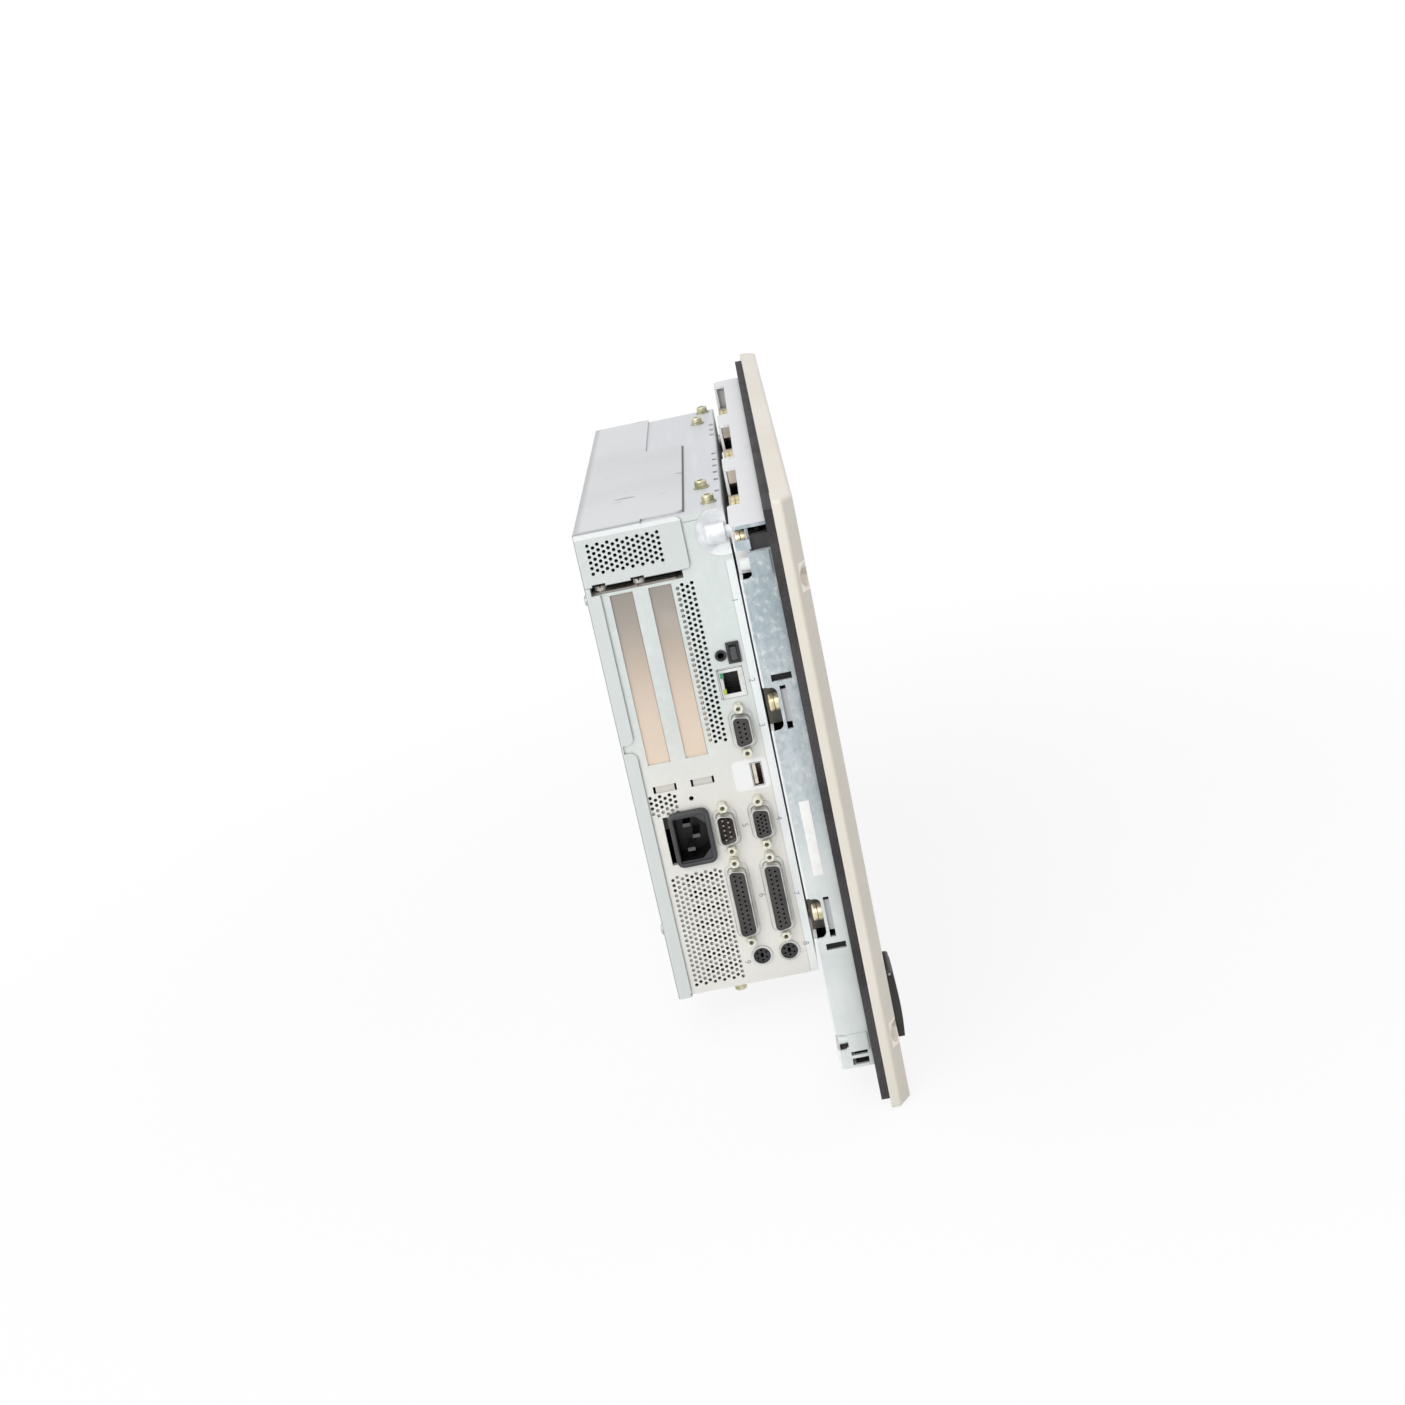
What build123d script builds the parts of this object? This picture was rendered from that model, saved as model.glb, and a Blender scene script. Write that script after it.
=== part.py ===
from build123d import *
import os
from math import cos, radians, sin, tan

# Panel mounted industrial PC, in millimetres. X runs along the front's width, Z up the front,
# and Y from the display back into the cabinet. The origin is the centre of the front panel's
# rear face, in the plane where the front meets a rack or a cabinet wall.

os.makedirs("parts", exist_ok=True)

# Front panel: 19 inch wide and 7 height units high
front_width = 483.0
front_height = 311.2
front_depth = 10.0
bevel_run = 8.0
bevel_rise = 5.2
rim_round = 2.0
rack_pitch_x = 465.1
rack_pitch_z = 234.9
rack_hole_radius = 3.4
rack_recess_radius = 6.4
rack_recess_web = 4.4

# Operator frame behind the front
frame_width = 444.0
frame_height = 283.0
frame_depth = 21.0
frame_rise = 1.5
frame_sheet = 1.5

# Computer unit on the frame's back
unit_width = 306.0
unit_height = 263.3
unit_depth = 77.2
unit_offset_x = 31.0
unit_offset_z = 0.65
unit_gap = 3.1
sheet = 1.2
bend_radius = 1.0

# Clearances
slip = 0.2
soft_gap = 0.3
running = 0.05
overrun = 5.0


def limits(centre, size):
    """Low and high limit of a size about its centre."""
    return (centre - size / 2, centre + size / 2)


def inset(span, margin):
    """The same limits drawn in by a margin at both ends."""
    return (span[0] + margin, span[1] - margin)


def seat(axis, place):
    """Sketch plane across an axis, with the other two axes in the order X, Y, Z."""
    planes = {"x": Plane.YZ.offset(place), "y": Plane.XZ.offset(-place), "z": Plane.XY.offset(place)}
    return planes[axis]


def along(axis, length):
    """Extrusion that grows a sketch on seat() towards the axis's positive end."""
    return -length if axis == "y" else length


def block(span_x, span_y, span_z, mode=Mode.ADD):
    """Box between low and high limits."""
    spans = (span_x, span_y, span_z)
    with Locations(tuple(sum(span) / 2 for span in spans)):
        Box(*[high - low for low, high in spans], mode=mode)


def rod(axis, span, across, radius, mode=Mode.ADD):
    """Round bar along an axis, at a place given by the two other axes."""
    with BuildSketch(seat(axis, span[0])) as section:
        with Locations(across):
            Circle(radius)
    extrude(section.sketch, amount=along(axis, span[1] - span[0]), mode=mode)


def rods(axis, span, places, radius, mode=Mode.ADD):
    """The same round bar at several places."""
    with BuildSketch(seat(axis, span[0])) as section:
        with Locations(*places):
            Circle(radius)
    extrude(section.sketch, amount=along(axis, span[1] - span[0]), mode=mode)


def hex_bars(axis, span, places, flats, mode=Mode.ADD):
    """The same six sided bar at several places."""
    with BuildSketch(seat(axis, span[0])) as section:
        with Locations(*places):
            RegularPolygon(radius=flats / 2, side_count=6, major_radius=False)
    extrude(section.sketch, amount=along(axis, span[1] - span[0]), mode=mode)


def keep(piece, label):
    """Label a finished piece and write it."""
    piece.part.label = label
    export_step(piece.part, f"parts/{label}.step")


# Layers of the front, from the film at the front face to the display behind
front_face = -front_depth
film_thickness = 0.5
glass_thickness = 3.0
ledge_thickness = 2.0
film_width = 372.0
film_height = 284.0
film_corner = 6.0
glass_width = 330.0
glass_height = 252.0
ledge_reach = 6.0
view_width = 304.0
view_height = 228.0
display_width = 326.0
display_height = 248.0
display_depth = 11.0
film_back = front_face + film_thickness
glass_back = film_back + glass_thickness
ledge_back = glass_back + ledge_thickness
display_front = ledge_back + soft_gap
display_back = display_front + display_depth

# Service socket and its hinged flap, low on the near side of the front
flap_x = -208.0
flap_z = -112.0
flap_width = 24.0
flap_length = 33.0
flap_thickness = 3.2
flap_base_width = 28.0
flap_base_length = 40.0
flap_base_depth = 1.6
flap_corner = 3.0
flap_knuckle_radius = 1.5
flap_pin_radius = 0.8
flap_ear_width = 2.4
usb_shell_long = 13.1
usb_shell_short = 5.9
usb_wall = 0.4
usb_depth = 14.0
usb_tongue_short = 1.9
usb_tongue_setback = 1.2
flap_base_front = front_face
flap_base_back = front_face + flap_base_depth
service_port_z = flap_z
rack_places = [(x, z) for x in limits(0, rack_pitch_x) for z in limits(0, rack_pitch_z)]

# Studs that hold the operator frame, set in from the frame's outer faces
stud_inset = 7.0
stud_radius = 2.0
stud_bed = 3.0
stud_tip = 19.6
frame_span_x = limits(0, frame_width)
frame_span_z = limits(frame_rise, frame_height)
stud_row_x = (frame_span_x[0] + stud_inset, frame_span_x[1] - stud_inset)
stud_row_z = (frame_span_z[0] + stud_inset, frame_span_z[1] - stud_inset)
top_pockets = [(-173.0, -81.0), (-50.0, 52.0), (90.0, 201.0)]
top_stud_inset = 33.0
top_stud_x = [low + top_stud_inset for low, high in top_pockets]
side_stud_high = 54.6
side_stud_low = -55.8
side_stud_z = (side_stud_high, side_stud_low)
stud_places = [(x, z) for x in top_stud_x for z in stud_row_z]
stud_places += [(x, z) for x in stud_row_x for z in side_stud_z]
stud_places += [(x, stud_row_z[1]) for x in stud_row_x]

# The front is a flat plate whose two ends are bevelled, with all its free edges rounded off
front_x = limits(0, front_width)
front_z = limits(0, front_height)
bevel_foot = front_face + bevel_rise
with BuildPart() as front_bezel:
    with BuildSketch(seat("z", front_z[0])):
        Polygon((front_x[0], 0), (front_x[0], bevel_foot), (front_x[0] + bevel_run, front_face),
                (front_x[1] - bevel_run, front_face), (front_x[1], bevel_foot), (front_x[1], 0),
                align=None)
    extrude(amount=front_height)
    free_edges = front_bezel.edges().filter_by_position(Axis.Y, front_face, -slip)
    front_creases = free_edges.filter_by(Axis.Z).filter_by_position(Axis.Y, front_face, front_face + slip)
    fillet(free_edges - front_creases, rim_round)
    with BuildSketch(seat("y", front_face)):
        RectangleRounded(film_width + 2 * slip, film_height + 2 * slip, film_corner)
    extrude(amount=along("y", film_thickness), mode=Mode.SUBTRACT)
    block(limits(0, glass_width + 2 * slip), (film_back, glass_back),
          limits(0, glass_height + 2 * slip), mode=Mode.SUBTRACT)
    block(limits(0, glass_width - 2 * ledge_reach), (glass_back, 0),
          limits(0, glass_height - 2 * ledge_reach), mode=Mode.SUBTRACT)
    block(limits(0, display_width + 2 * soft_gap), (ledge_back, 0),
          limits(0, display_height + 2 * soft_gap), mode=Mode.SUBTRACT)
    rods("y", (front_face, -rack_recess_web), rack_places, rack_recess_radius, mode=Mode.SUBTRACT)
    rods("y", (-rack_recess_web, 0), rack_places, rack_hole_radius, mode=Mode.SUBTRACT)
    with BuildSketch(seat("y", flap_base_front)):
        with Locations((flap_x, flap_z)):
            RectangleRounded(flap_base_width + 2 * slip, flap_base_length + 2 * slip, flap_corner)
    extrude(amount=along("y", flap_base_depth), mode=Mode.SUBTRACT)
    block(limits(flap_x, usb_shell_long + 2 * slip), (flap_base_back, 0),
          limits(service_port_z, usb_shell_short + 2 * slip), mode=Mode.SUBTRACT)
    rods("y", (-stud_bed, 0), stud_places, stud_radius, mode=Mode.SUBTRACT)
keep(front_bezel, "front_bezel")

with BuildPart() as front_film:
    with BuildSketch(seat("y", front_face)):
        RectangleRounded(film_width, film_height, film_corner)
        Rectangle(view_width, view_height, mode=Mode.SUBTRACT)
    extrude(amount=along("y", film_thickness))
keep(front_film, "front_film")

with BuildPart() as touch_glass:
    block(limits(0, glass_width), (film_back, glass_back), limits(0, glass_height))
keep(touch_glass, "touch_glass")

# Display: a metal framed module with its picture area let in behind the glass
view_recess = 1.0
with BuildPart() as lcd_module:
    block(limits(0, display_width), (display_front, display_back), limits(0, display_height))
    block(limits(0, view_width), (display_front, display_front + view_recess),
          limits(0, view_height), mode=Mode.SUBTRACT)
keep(lcd_module, "lcd_module")

with BuildPart() as lcd_screen:
    block(limits(0, view_width), (display_front, display_front + view_recess), limits(0, view_height))
keep(lcd_screen, "lcd_screen")

# Gasket between the front and the cabinet wall
gasket_depth = 4.2
gasket_width = 476.0
gasket_height = 303.0
gasket_clearance = 1.0
gasket_hole_margin = 0.8
with BuildPart() as panel_gasket:
    with BuildSketch(seat("y", 0)):
        Rectangle(gasket_width, gasket_height)
        with Locations((0, frame_rise)):
            Rectangle(frame_width + 2 * gasket_clearance, frame_height + 2 * gasket_clearance,
                      mode=Mode.SUBTRACT)
        with Locations(*rack_places):
            Circle(rack_hole_radius + gasket_hole_margin, mode=Mode.SUBTRACT)
    extrude(amount=along("y", gasket_depth))
keep(panel_gasket, "panel_gasket")

# Operator frame: an open tray of galvanised sheet. Pockets cut into its walls show the nuts,
# which sit on a shelf bent in from the wall.
shelf_front = 13.0
shelf_back = shelf_front + frame_sheet
pocket_inboard = 13.0
pocket_corner = 3.0
side_pockets = [(42.2, 64.0), (-67.4, -46.0)]
pocket_window_width = 2.8
pocket_window_gap = 2.7
corner_pocket_top = 117.6
foot_pocket = (-129.6, -120.9)
slot_width = 9.8
slot_height = 3.4
slot_back = 16.0
side_slots = [66.6, -74.2]
end_opening_width = 9.8
end_opening_front = 4.0
end_opening_span = (130.3, 141.5)
foot_openings = [(-133.2, -131.1), (-139.2, -134.9)]
corner_strip = (131.5, 136.2)
end_pad_rise = 0.7
end_pad_y = (5.2, 15.0)
end_pads = [(118.2, 129.8), (-130.8, -121.4)]
gusset_gap = 1.5
gusset_y = (3.0, shelf_front)
gusset_spans = [(118.0, 137.2)] + [inset(span, pocket_window_gap) for span in side_pockets]
cable_gate_width = 40.0
cable_gate_height = 30.0
cable_gate_x = 100.0
cable_gate_z = -60.0
wall_in_x = (frame_span_x[0] + frame_sheet, frame_span_x[1] - frame_sheet)
wall_in_z = (frame_span_z[0] + frame_sheet, frame_span_z[1] - frame_sheet)
wall_pockets = side_pockets + [(corner_pocket_top, wall_in_z[1]), foot_pocket]
open_pockets = side_pockets + [(corner_pocket_top, frame_span_z[1] + overrun), foot_pocket]


def wall_with_pockets(axis, place, wall_span, pockets, windows, swap):
    """Side wall of the tray with rounded pockets in its rear edge."""
    turn = (lambda y, other: (other, y)) if swap else (lambda y, other: (y, other))

    def field(span_y, span_other, mode):
        size = (span_y[1] - span_y[0], span_other[1] - span_other[0])
        with Locations(turn(sum(span_y) / 2, sum(span_other) / 2)):
            Rectangle(*turn(*size), mode=mode)

    with BuildSketch(seat(axis, place)) as wall:
        field((0, frame_depth), wall_span, Mode.ADD)
        for pocket in pockets:
            field((shelf_back, frame_depth + overrun), pocket, Mode.SUBTRACT)
        depth_axis = Axis.Y if swap else Axis.X
        corners = wall.vertices().filter_by_position(depth_axis, shelf_front, frame_depth + slip)
        fillet(corners, pocket_corner)
        for span_y, span_other in windows:
            field(span_y, span_other, Mode.SUBTRACT)
    extrude(wall.sketch, amount=frame_sheet)


side_windows = [((slot_back - slot_width, slot_back), (z, z + slot_height)) for z in side_slots]
side_windows += [((end_opening_front, end_opening_front + end_opening_width), end_opening_span)]
foot_window_y = (slot_back - slot_width, slot_back - pocket_corner / 2)
side_windows += [(foot_window_y, span) for span in foot_openings]
side_windows += [((shelf_front - pocket_window_width, shelf_front), span) for span in side_pockets]

with BuildPart() as rear_frame:
    wall_with_pockets("x", frame_span_x[0], frame_span_z, open_pockets, side_windows, False)
    wall_with_pockets("x", wall_in_x[1], frame_span_z, open_pockets, side_windows, False)
    wall_with_pockets("z", wall_in_z[1], frame_span_x, top_pockets, [], True)
    wall_with_pockets("z", frame_span_z[0], frame_span_x, top_pockets, [], True)
    block(wall_in_x, (frame_depth - frame_sheet, frame_depth), wall_in_z)
    block(limits(cable_gate_x, cable_gate_width), (0, frame_depth + overrun),
          limits(cable_gate_z, cable_gate_height), mode=Mode.SUBTRACT)
    for span in top_pockets:
        for low, high in ((wall_in_z[0], wall_in_z[0] + pocket_inboard),
                          (wall_in_z[1] - pocket_inboard, wall_in_z[1])):
            block(span, (shelf_front, frame_depth), (low - frame_sheet, high + frame_sheet))
            block(span, (shelf_back, frame_depth + overrun), (low, high), mode=Mode.SUBTRACT)
        for wall in ((frame_span_z[0], wall_in_z[0]), (wall_in_z[1], frame_span_z[1])):
            block(span, (shelf_back, frame_depth + overrun), wall, mode=Mode.SUBTRACT)
    for span in wall_pockets:
        for low, high in ((wall_in_x[0], wall_in_x[0] + pocket_inboard),
                          (wall_in_x[1] - pocket_inboard, wall_in_x[1])):
            block((low, high), (shelf_front, frame_depth), span)
            inner = (low, high - frame_sheet) if low < 0 else (low + frame_sheet, high)
            block(inner, (shelf_back, frame_depth + overrun), span, mode=Mode.SUBTRACT)
    for side in (-1, 1):
        wall = sorted((side * frame_span_x[1], side * wall_in_x[1]))
        block(wall, (shelf_front, frame_depth - slip), corner_strip)
        pad = sorted((side * frame_span_x[1], side * (frame_span_x[1] + end_pad_rise)))
        for span in end_pads:
            block(pad, end_pad_y, span)
        gusset_edge = wall_in_x[1] - gusset_gap
        gusset = sorted((side * gusset_edge, side * (gusset_edge - frame_sheet)))
        for span in gusset_spans:
            block(gusset, gusset_y, span)
    rods("y", (0, shelf_back), stud_places, stud_radius + slip, mode=Mode.SUBTRACT)
keep(rear_frame, "rear_frame")

# Round nuts, each with a washer held on it
nut_radius = 4.2
nut_height = 4.9
nut_groove_radius = 3.4
washer_radius = 4.4
washer_height = 2.2
nut_groove = 0.4
nut_round = 0.9
with BuildPart() as frame_studs:
    rods("y", (-stud_bed, stud_tip), stud_places, stud_radius)
keep(frame_studs, "frame_studs")

with BuildPart() as frame_nuts:
    rods("y", (shelf_back, shelf_back + washer_height), stud_places, washer_radius)
    rods("y", (shelf_back + washer_height, shelf_back + nut_height), stud_places, nut_groove_radius)
    rods("y", (shelf_back + washer_height + nut_groove, shelf_back + nut_height), stud_places, nut_radius)
    nut_rims = frame_nuts.edges().filter_by(GeomType.CIRCLE)
    fillet(nut_rims.filter_by_position(Axis.Y, shelf_back + nut_height - slip, frame_depth), nut_round)
    rods("y", (shelf_back, shelf_back + nut_height), stud_places, stud_radius, mode=Mode.SUBTRACT)
keep(frame_nuts, "frame_nuts")

# White moulded spacers that stand in the end pockets
spacer_radius = 3.2
spacer_inset = 4.8
spacer_back = 19.6
spacer_rows = (123.9, -124.6)
with BuildPart() as frame_spacers:
    places = [(x, z) for x in inset(frame_span_x, spacer_inset) for z in spacer_rows]
    rods("y", (shelf_back, spacer_back), places, spacer_radius)
keep(frame_spacers, "frame_spacers")

# Bare white label on the frame's near wall
label_thickness = 0.2
label_span_y = (10.2, 15.2)
label_span_z = (-34.0, 5.0)
with BuildPart() as blank_label:
    block((frame_span_x[0] - label_thickness, frame_span_x[0]), label_span_y, label_span_z)
keep(blank_label, "blank_label")

# Carrier that clamps the display against the front, standing on four folded legs
carrier_width = 344.0
carrier_height = 256.0
carrier_sheet = 1.2
carrier_leg = 20.0
with BuildPart() as display_carrier:
    block(limits(0, carrier_width), (display_back, display_back + carrier_sheet),
          limits(0, carrier_height))
    for x in limits(0, carrier_width - carrier_sheet):
        for z in limits(0, carrier_height - carrier_leg):
            block(limits(x, carrier_sheet), (0, display_back), limits(z, carrier_leg))
keep(display_carrier, "display_carrier")

inverter_length = 140.0
inverter_height = 24.0
inverter_board = 1.6
inverter_core = (22.0, 5.0, 16.0)
inverter_z = -80.0
carrier_back = display_back + carrier_sheet
with BuildPart() as backlight_inverter:
    block(limits(0, inverter_length), (carrier_back, carrier_back + inverter_board),
          limits(inverter_z, inverter_height))
    for x in limits(0, inverter_length - 2 * inverter_core[0]):
        block(limits(x, inverter_core[0]),
              (carrier_back + inverter_board, carrier_back + inverter_board + inverter_core[1]),
              limits(inverter_z, inverter_core[2]))
keep(backlight_inverter, "backlight_inverter")

# Bus sockets, one in the front and one in the port plate: a folded metal shell with a tongue
usb_front = flap_base_front + slip


def usb_shell(axis, mouth, centre, long_first):
    """Rectangular socket shell, open at its mouth, growing along the positive axis."""
    outer = (usb_shell_long, usb_shell_short)
    inner = tuple(size - 2 * usb_wall for size in outer)
    if not long_first:
        outer, inner = outer[::-1], inner[::-1]
    with BuildSketch(seat(axis, mouth)) as outside:
        with Locations(centre):
            Rectangle(*outer)
    extrude(outside.sketch, amount=along(axis, usb_depth))
    with BuildSketch(seat(axis, mouth)) as inside:
        with Locations(centre):
            Rectangle(*inner)
    extrude(inside.sketch, amount=along(axis, usb_depth - usb_wall), mode=Mode.SUBTRACT)


def usb_tongue(axis, mouth, centre, long_first):
    """Contact tongue held by the closed end of the shell."""
    tongue = (usb_shell_long - 4 * usb_wall, usb_tongue_short)
    shift = (0, usb_shell_short / 2 - usb_wall - usb_tongue_short / 2 - usb_wall)
    if not long_first:
        tongue, shift = tongue[::-1], shift[::-1]
    with BuildSketch(seat(axis, mouth + usb_tongue_setback)) as blade:
        with Locations((centre[0] + shift[0], centre[1] + shift[1])):
            Rectangle(*tongue)
    extrude(blade.sketch, amount=along(axis, usb_depth - usb_wall - usb_tongue_setback))


# Flap: its base is let into the front and carries two hinge ears at the upper end
hinge_z = flap_z + flap_length / 2 + flap_knuckle_radius
hinge_y = flap_base_front - slip - flap_knuckle_radius
knuckle_span = limits(flap_x, flap_width - 2 * flap_ear_width)
ear_spans = [(flap_x - flap_width / 2, knuckle_span[0] - slip),
             (knuckle_span[1] + slip, flap_x + flap_width / 2)]
with BuildPart() as flap_base:
    with BuildSketch(seat("y", flap_base_front)):
        with Locations((flap_x, flap_z)):
            RectangleRounded(flap_base_width, flap_base_length, flap_corner)
        with Locations((flap_x, service_port_z)):
            Rectangle(usb_shell_long + 2 * slip, usb_shell_short + 2 * slip, mode=Mode.SUBTRACT)
    extrude(amount=along("y", flap_base_depth))
    for span in ear_spans:
        rod("x", span, (hinge_y, hinge_z), flap_knuckle_radius)
        block(span, (hinge_y, flap_base_front), limits(hinge_z, 2 * flap_knuckle_radius))
        rod("x", span, (hinge_y, hinge_z), flap_pin_radius, mode=Mode.SUBTRACT)
keep(flap_base, "flap_base")

with BuildPart() as flap_pin:
    rod("x", limits(flap_x, flap_width), (hinge_y, hinge_z), flap_pin_radius)
keep(flap_pin, "flap_pin")

flap_back = flap_base_front - soft_gap
flap_front = flap_back - flap_thickness
flap_swell = 0.8
flap_foot = hinge_z - flap_knuckle_radius - slip - flap_length
flap_head = hinge_z - flap_knuckle_radius - slip
with BuildPart() as front_flap:
    with BuildSketch(seat("x", flap_x - flap_width / 2)):
        with BuildLine():
            Polyline((flap_back, flap_foot), (flap_back, flap_head), (flap_front, flap_head))
            ThreePointArc((flap_front, flap_head),
                          (flap_front - flap_swell, (flap_head + flap_foot) / 2),
                          (flap_front, flap_foot))
            Line((flap_front, flap_foot), (flap_back, flap_foot))
        make_face()
    extrude(amount=flap_width)
    block(knuckle_span, (hinge_y, flap_back), (flap_head, hinge_z))
    rod("x", knuckle_span, (hinge_y, hinge_z), flap_knuckle_radius)
    rod("x", knuckle_span, (hinge_y, hinge_z), flap_pin_radius + running, mode=Mode.SUBTRACT)
keep(front_flap, "front_flap")

# Computer unit box. Outer limits of its sheet metal, and its own reference faces.
unit_x = limits(unit_offset_x, unit_width)
unit_z = limits(unit_offset_z, unit_height)
unit_front = frame_depth + unit_gap
unit_y = (unit_front, unit_front + unit_depth)
port_out = unit_x[0]
port_in = port_out + sheet
far_out = unit_x[1]
far_in = far_out - sheet
floor_in = unit_y[0] + sheet
bottom_in = unit_z[0] + sheet
top_in = unit_z[1] - sheet
cover_in = unit_y[1]
cover_out = cover_in + sheet

# Spacers between the frame and the unit
unit_spacer_radius = 6.0
unit_spacer_inset = 20.0
with BuildPart() as unit_spacers:
    places = [(x, z) for x in (unit_x[0] + unit_spacer_inset, unit_x[1] - unit_spacer_inset)
              for z in (unit_z[0] + unit_spacer_inset, unit_z[1] - unit_spacer_inset)]
    rods("y", (frame_depth, unit_front), places, unit_spacer_radius)
keep(unit_spacers, "unit_spacers")

# Staggered vent holes
vent_pitch = 3.0
vent_radius = 0.95
vent_stagger = 30.0
vent_column = vent_pitch * cos(radians(vent_stagger))


def vent_centres(span_across, span_along):
    """Centres of a staggered hole pattern that fills a window."""
    places = []
    columns = int((span_across[1] - span_across[0]) / vent_column) + 1
    rows = int((span_along[1] - span_along[0]) / vent_pitch) + 1
    for column in range(columns):
        across = span_across[0] + column * vent_column
        for row in range(rows):
            place = span_along[0] + (row + column % 2 / 2) * vent_pitch
            if place <= span_along[1]:
                places.append((across, place))
    return places


# Port plate layout: everything on the near side, as (y, z) places
port_row_low = 37.6
port_row_high = 56.7
dsub_screw_pitch_9 = 24.99
dsub_screw_pitch_25 = 47.04
dsub_length_9 = 16.9
dsub_length_25 = 38.96
dsub_width = 8.36
dsub_rim = 0.5
dsub_slant = 10.0
dsub_corner = 2.4
dsub_flange_margin = 2.9
dsub_flange_width = 12.5
dsub_flange_depth = 0.8
dsub_reach = 5.9
dsub_body_depth = 12.0
connectors = {
    "bus_port": (port_row_low, 13.8, dsub_length_9, dsub_screw_pitch_9),
    "monitor_port": (port_row_low, -38.7, dsub_length_9, dsub_screw_pitch_9),
    "serial_port": (port_row_high, -38.7, dsub_length_9, dsub_screw_pitch_9),
    "long_serial_port": (port_row_high, -81.9, dsub_length_25, dsub_screw_pitch_25),
    "printer_port": (port_row_low, -82.2, dsub_length_25, dsub_screw_pitch_25),
}
jack_screw_flats = 4.8
jack_screw_reach = 5.0
jack_screw_bore = 1.2
jack_screw_shank = 1.5
round_socket_radius = 4.7
round_collar_radius = 5.7
round_collar_lip = 1.0
round_socket_depth = 12.0
round_sockets = {"keyboard": (port_row_low, -115.9), "mouse": (52.7, -115.9)}
lan_place = (38.1, 39.8)
lan_length = 16.4
lan_width = 13.6
lan_depth = 18.0
lan_mouth_length = 11.8
lan_mouth_width = 8.2
lan_mouth_depth = 12.0
usb_place = (34.9, -12.5)
switch_place = (34.0, 55.9)
switch_length = 11.4
switch_width = 6.8
switch_rim = 0.9
switch_lip = 1.2
switch_depth = 10.0
jack_place = (40.9, 55.3)
jack_radius = 3.0
jack_bore = 1.75
jack_lip = 0.8
jack_depth = 11.0
inlet_place = (75.6, -40.4)
inlet_flange = (22.0, 31.0)
inlet_body = (20.0, 27.4)
inlet_mouth = (17.0, 24.4)
inlet_flange_depth = 2.5
inlet_corner = 4.0
inlet_cut = 5.0
inlet_depth = 18.0
inlet_mouth_depth = 16.5
inlet_gap_size = (2.6, 21.0)
inlet_gap_place = (88.2, -43.8)
card_pitch = 20.32
card_high = 84.5
card_places = (card_high, card_high - card_pitch)
card_window_width = 12.1
card_window_span = (3.7, 98.4)
card_bracket_width = 18.4
card_bracket_sheet = 0.9
card_tab_reach = 11.4
card_shelf_top = 100.0
card_tongue_end = -12.6
card_tongue_width = 10.2
tongue_slot_z = -10.6
tongue_slot_height = 4.0
tongue_slot_width = 12.6
card_recess_span_y = (51.1, 99.5)
card_recess_height = 4.5
card_notch_width = 7.0
card_notch_height = 5.9
card_screw_rows = [y + card_pitch / 2 for y in card_places]
corner_hole = (2.4, 2.2)
corner_hole_place = (26.0, 130.5)
earth_screw_place = (71.9, -18.9)
earth_screw_radius = 1.3
vent_windows = [((59.6, 98.4), (111.6, 127.8)), ((47.6, 55.6), (9.6, 97.6)),
                ((80.4, 93.6), (-25.0, -14.4)), ((65.2, 92.9), (-126.0, -60.4))]
cover_strip = 6.4
back_screw_inset = 10.0
back_screw_z = (96.0, -94.0)
back_screws = [(x, z) for x in inset(unit_x, back_screw_inset) for z in back_screw_z]
dome_shank = 1.4
screw_tab_reach = 15.0
screw_tab_width = 12.0
screw_tab_sheet = 1.6
screw_tab_y = (cover_in - screw_tab_sheet, cover_in)


def port_field(size, centre, corner=0, mode=Mode.ADD):
    """Rectangle on the port plate's plane, rounded if it has a corner radius."""
    with Locations(centre):
        if corner:
            RectangleRounded(*size, corner, mode=mode)
        else:
            Rectangle(*size, mode=mode)


def dsub_outline(centre, length, width):
    """D shaped outline with its long side towards the back, and rounded corners."""
    lean = width * tan(radians(dsub_slant))
    with BuildSketch(mode=Mode.PRIVATE) as outline:
        Polygon((width / 2, length / 2), (width / 2, -length / 2),
                (-width / 2, -length / 2 + lean), (-width / 2, length / 2 - lean), align=None)
        fillet(outline.vertices(), dsub_corner)
    with Locations(centre):
        add(outline.sketch)


def card_recess(mode=Mode.ADD):
    """Slot over the card slots that gives access to the bracket screws, notched over each screw."""
    port_field((card_recess_span_y[1] - card_recess_span_y[0], card_recess_height),
               (sum(card_recess_span_y) / 2, card_shelf_top + card_recess_height / 2), mode=mode)
    for y in card_screw_rows:
        port_field((card_notch_width, card_notch_height), (y, card_shelf_top + card_notch_height / 2),
                   mode=mode)


def inlet_outline(size, cut):
    """Appliance inlet outline: two corners on the front side are cut."""
    half_y, half_z = (side / 2 for side in size)
    with Locations(inlet_place):
        Polygon((half_y, half_z), (half_y, -half_z), (cut - half_y, -half_z), (-half_y, cut - half_z),
                (-half_y, half_z - cut), (cut - half_y, half_z), align=None)


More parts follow.
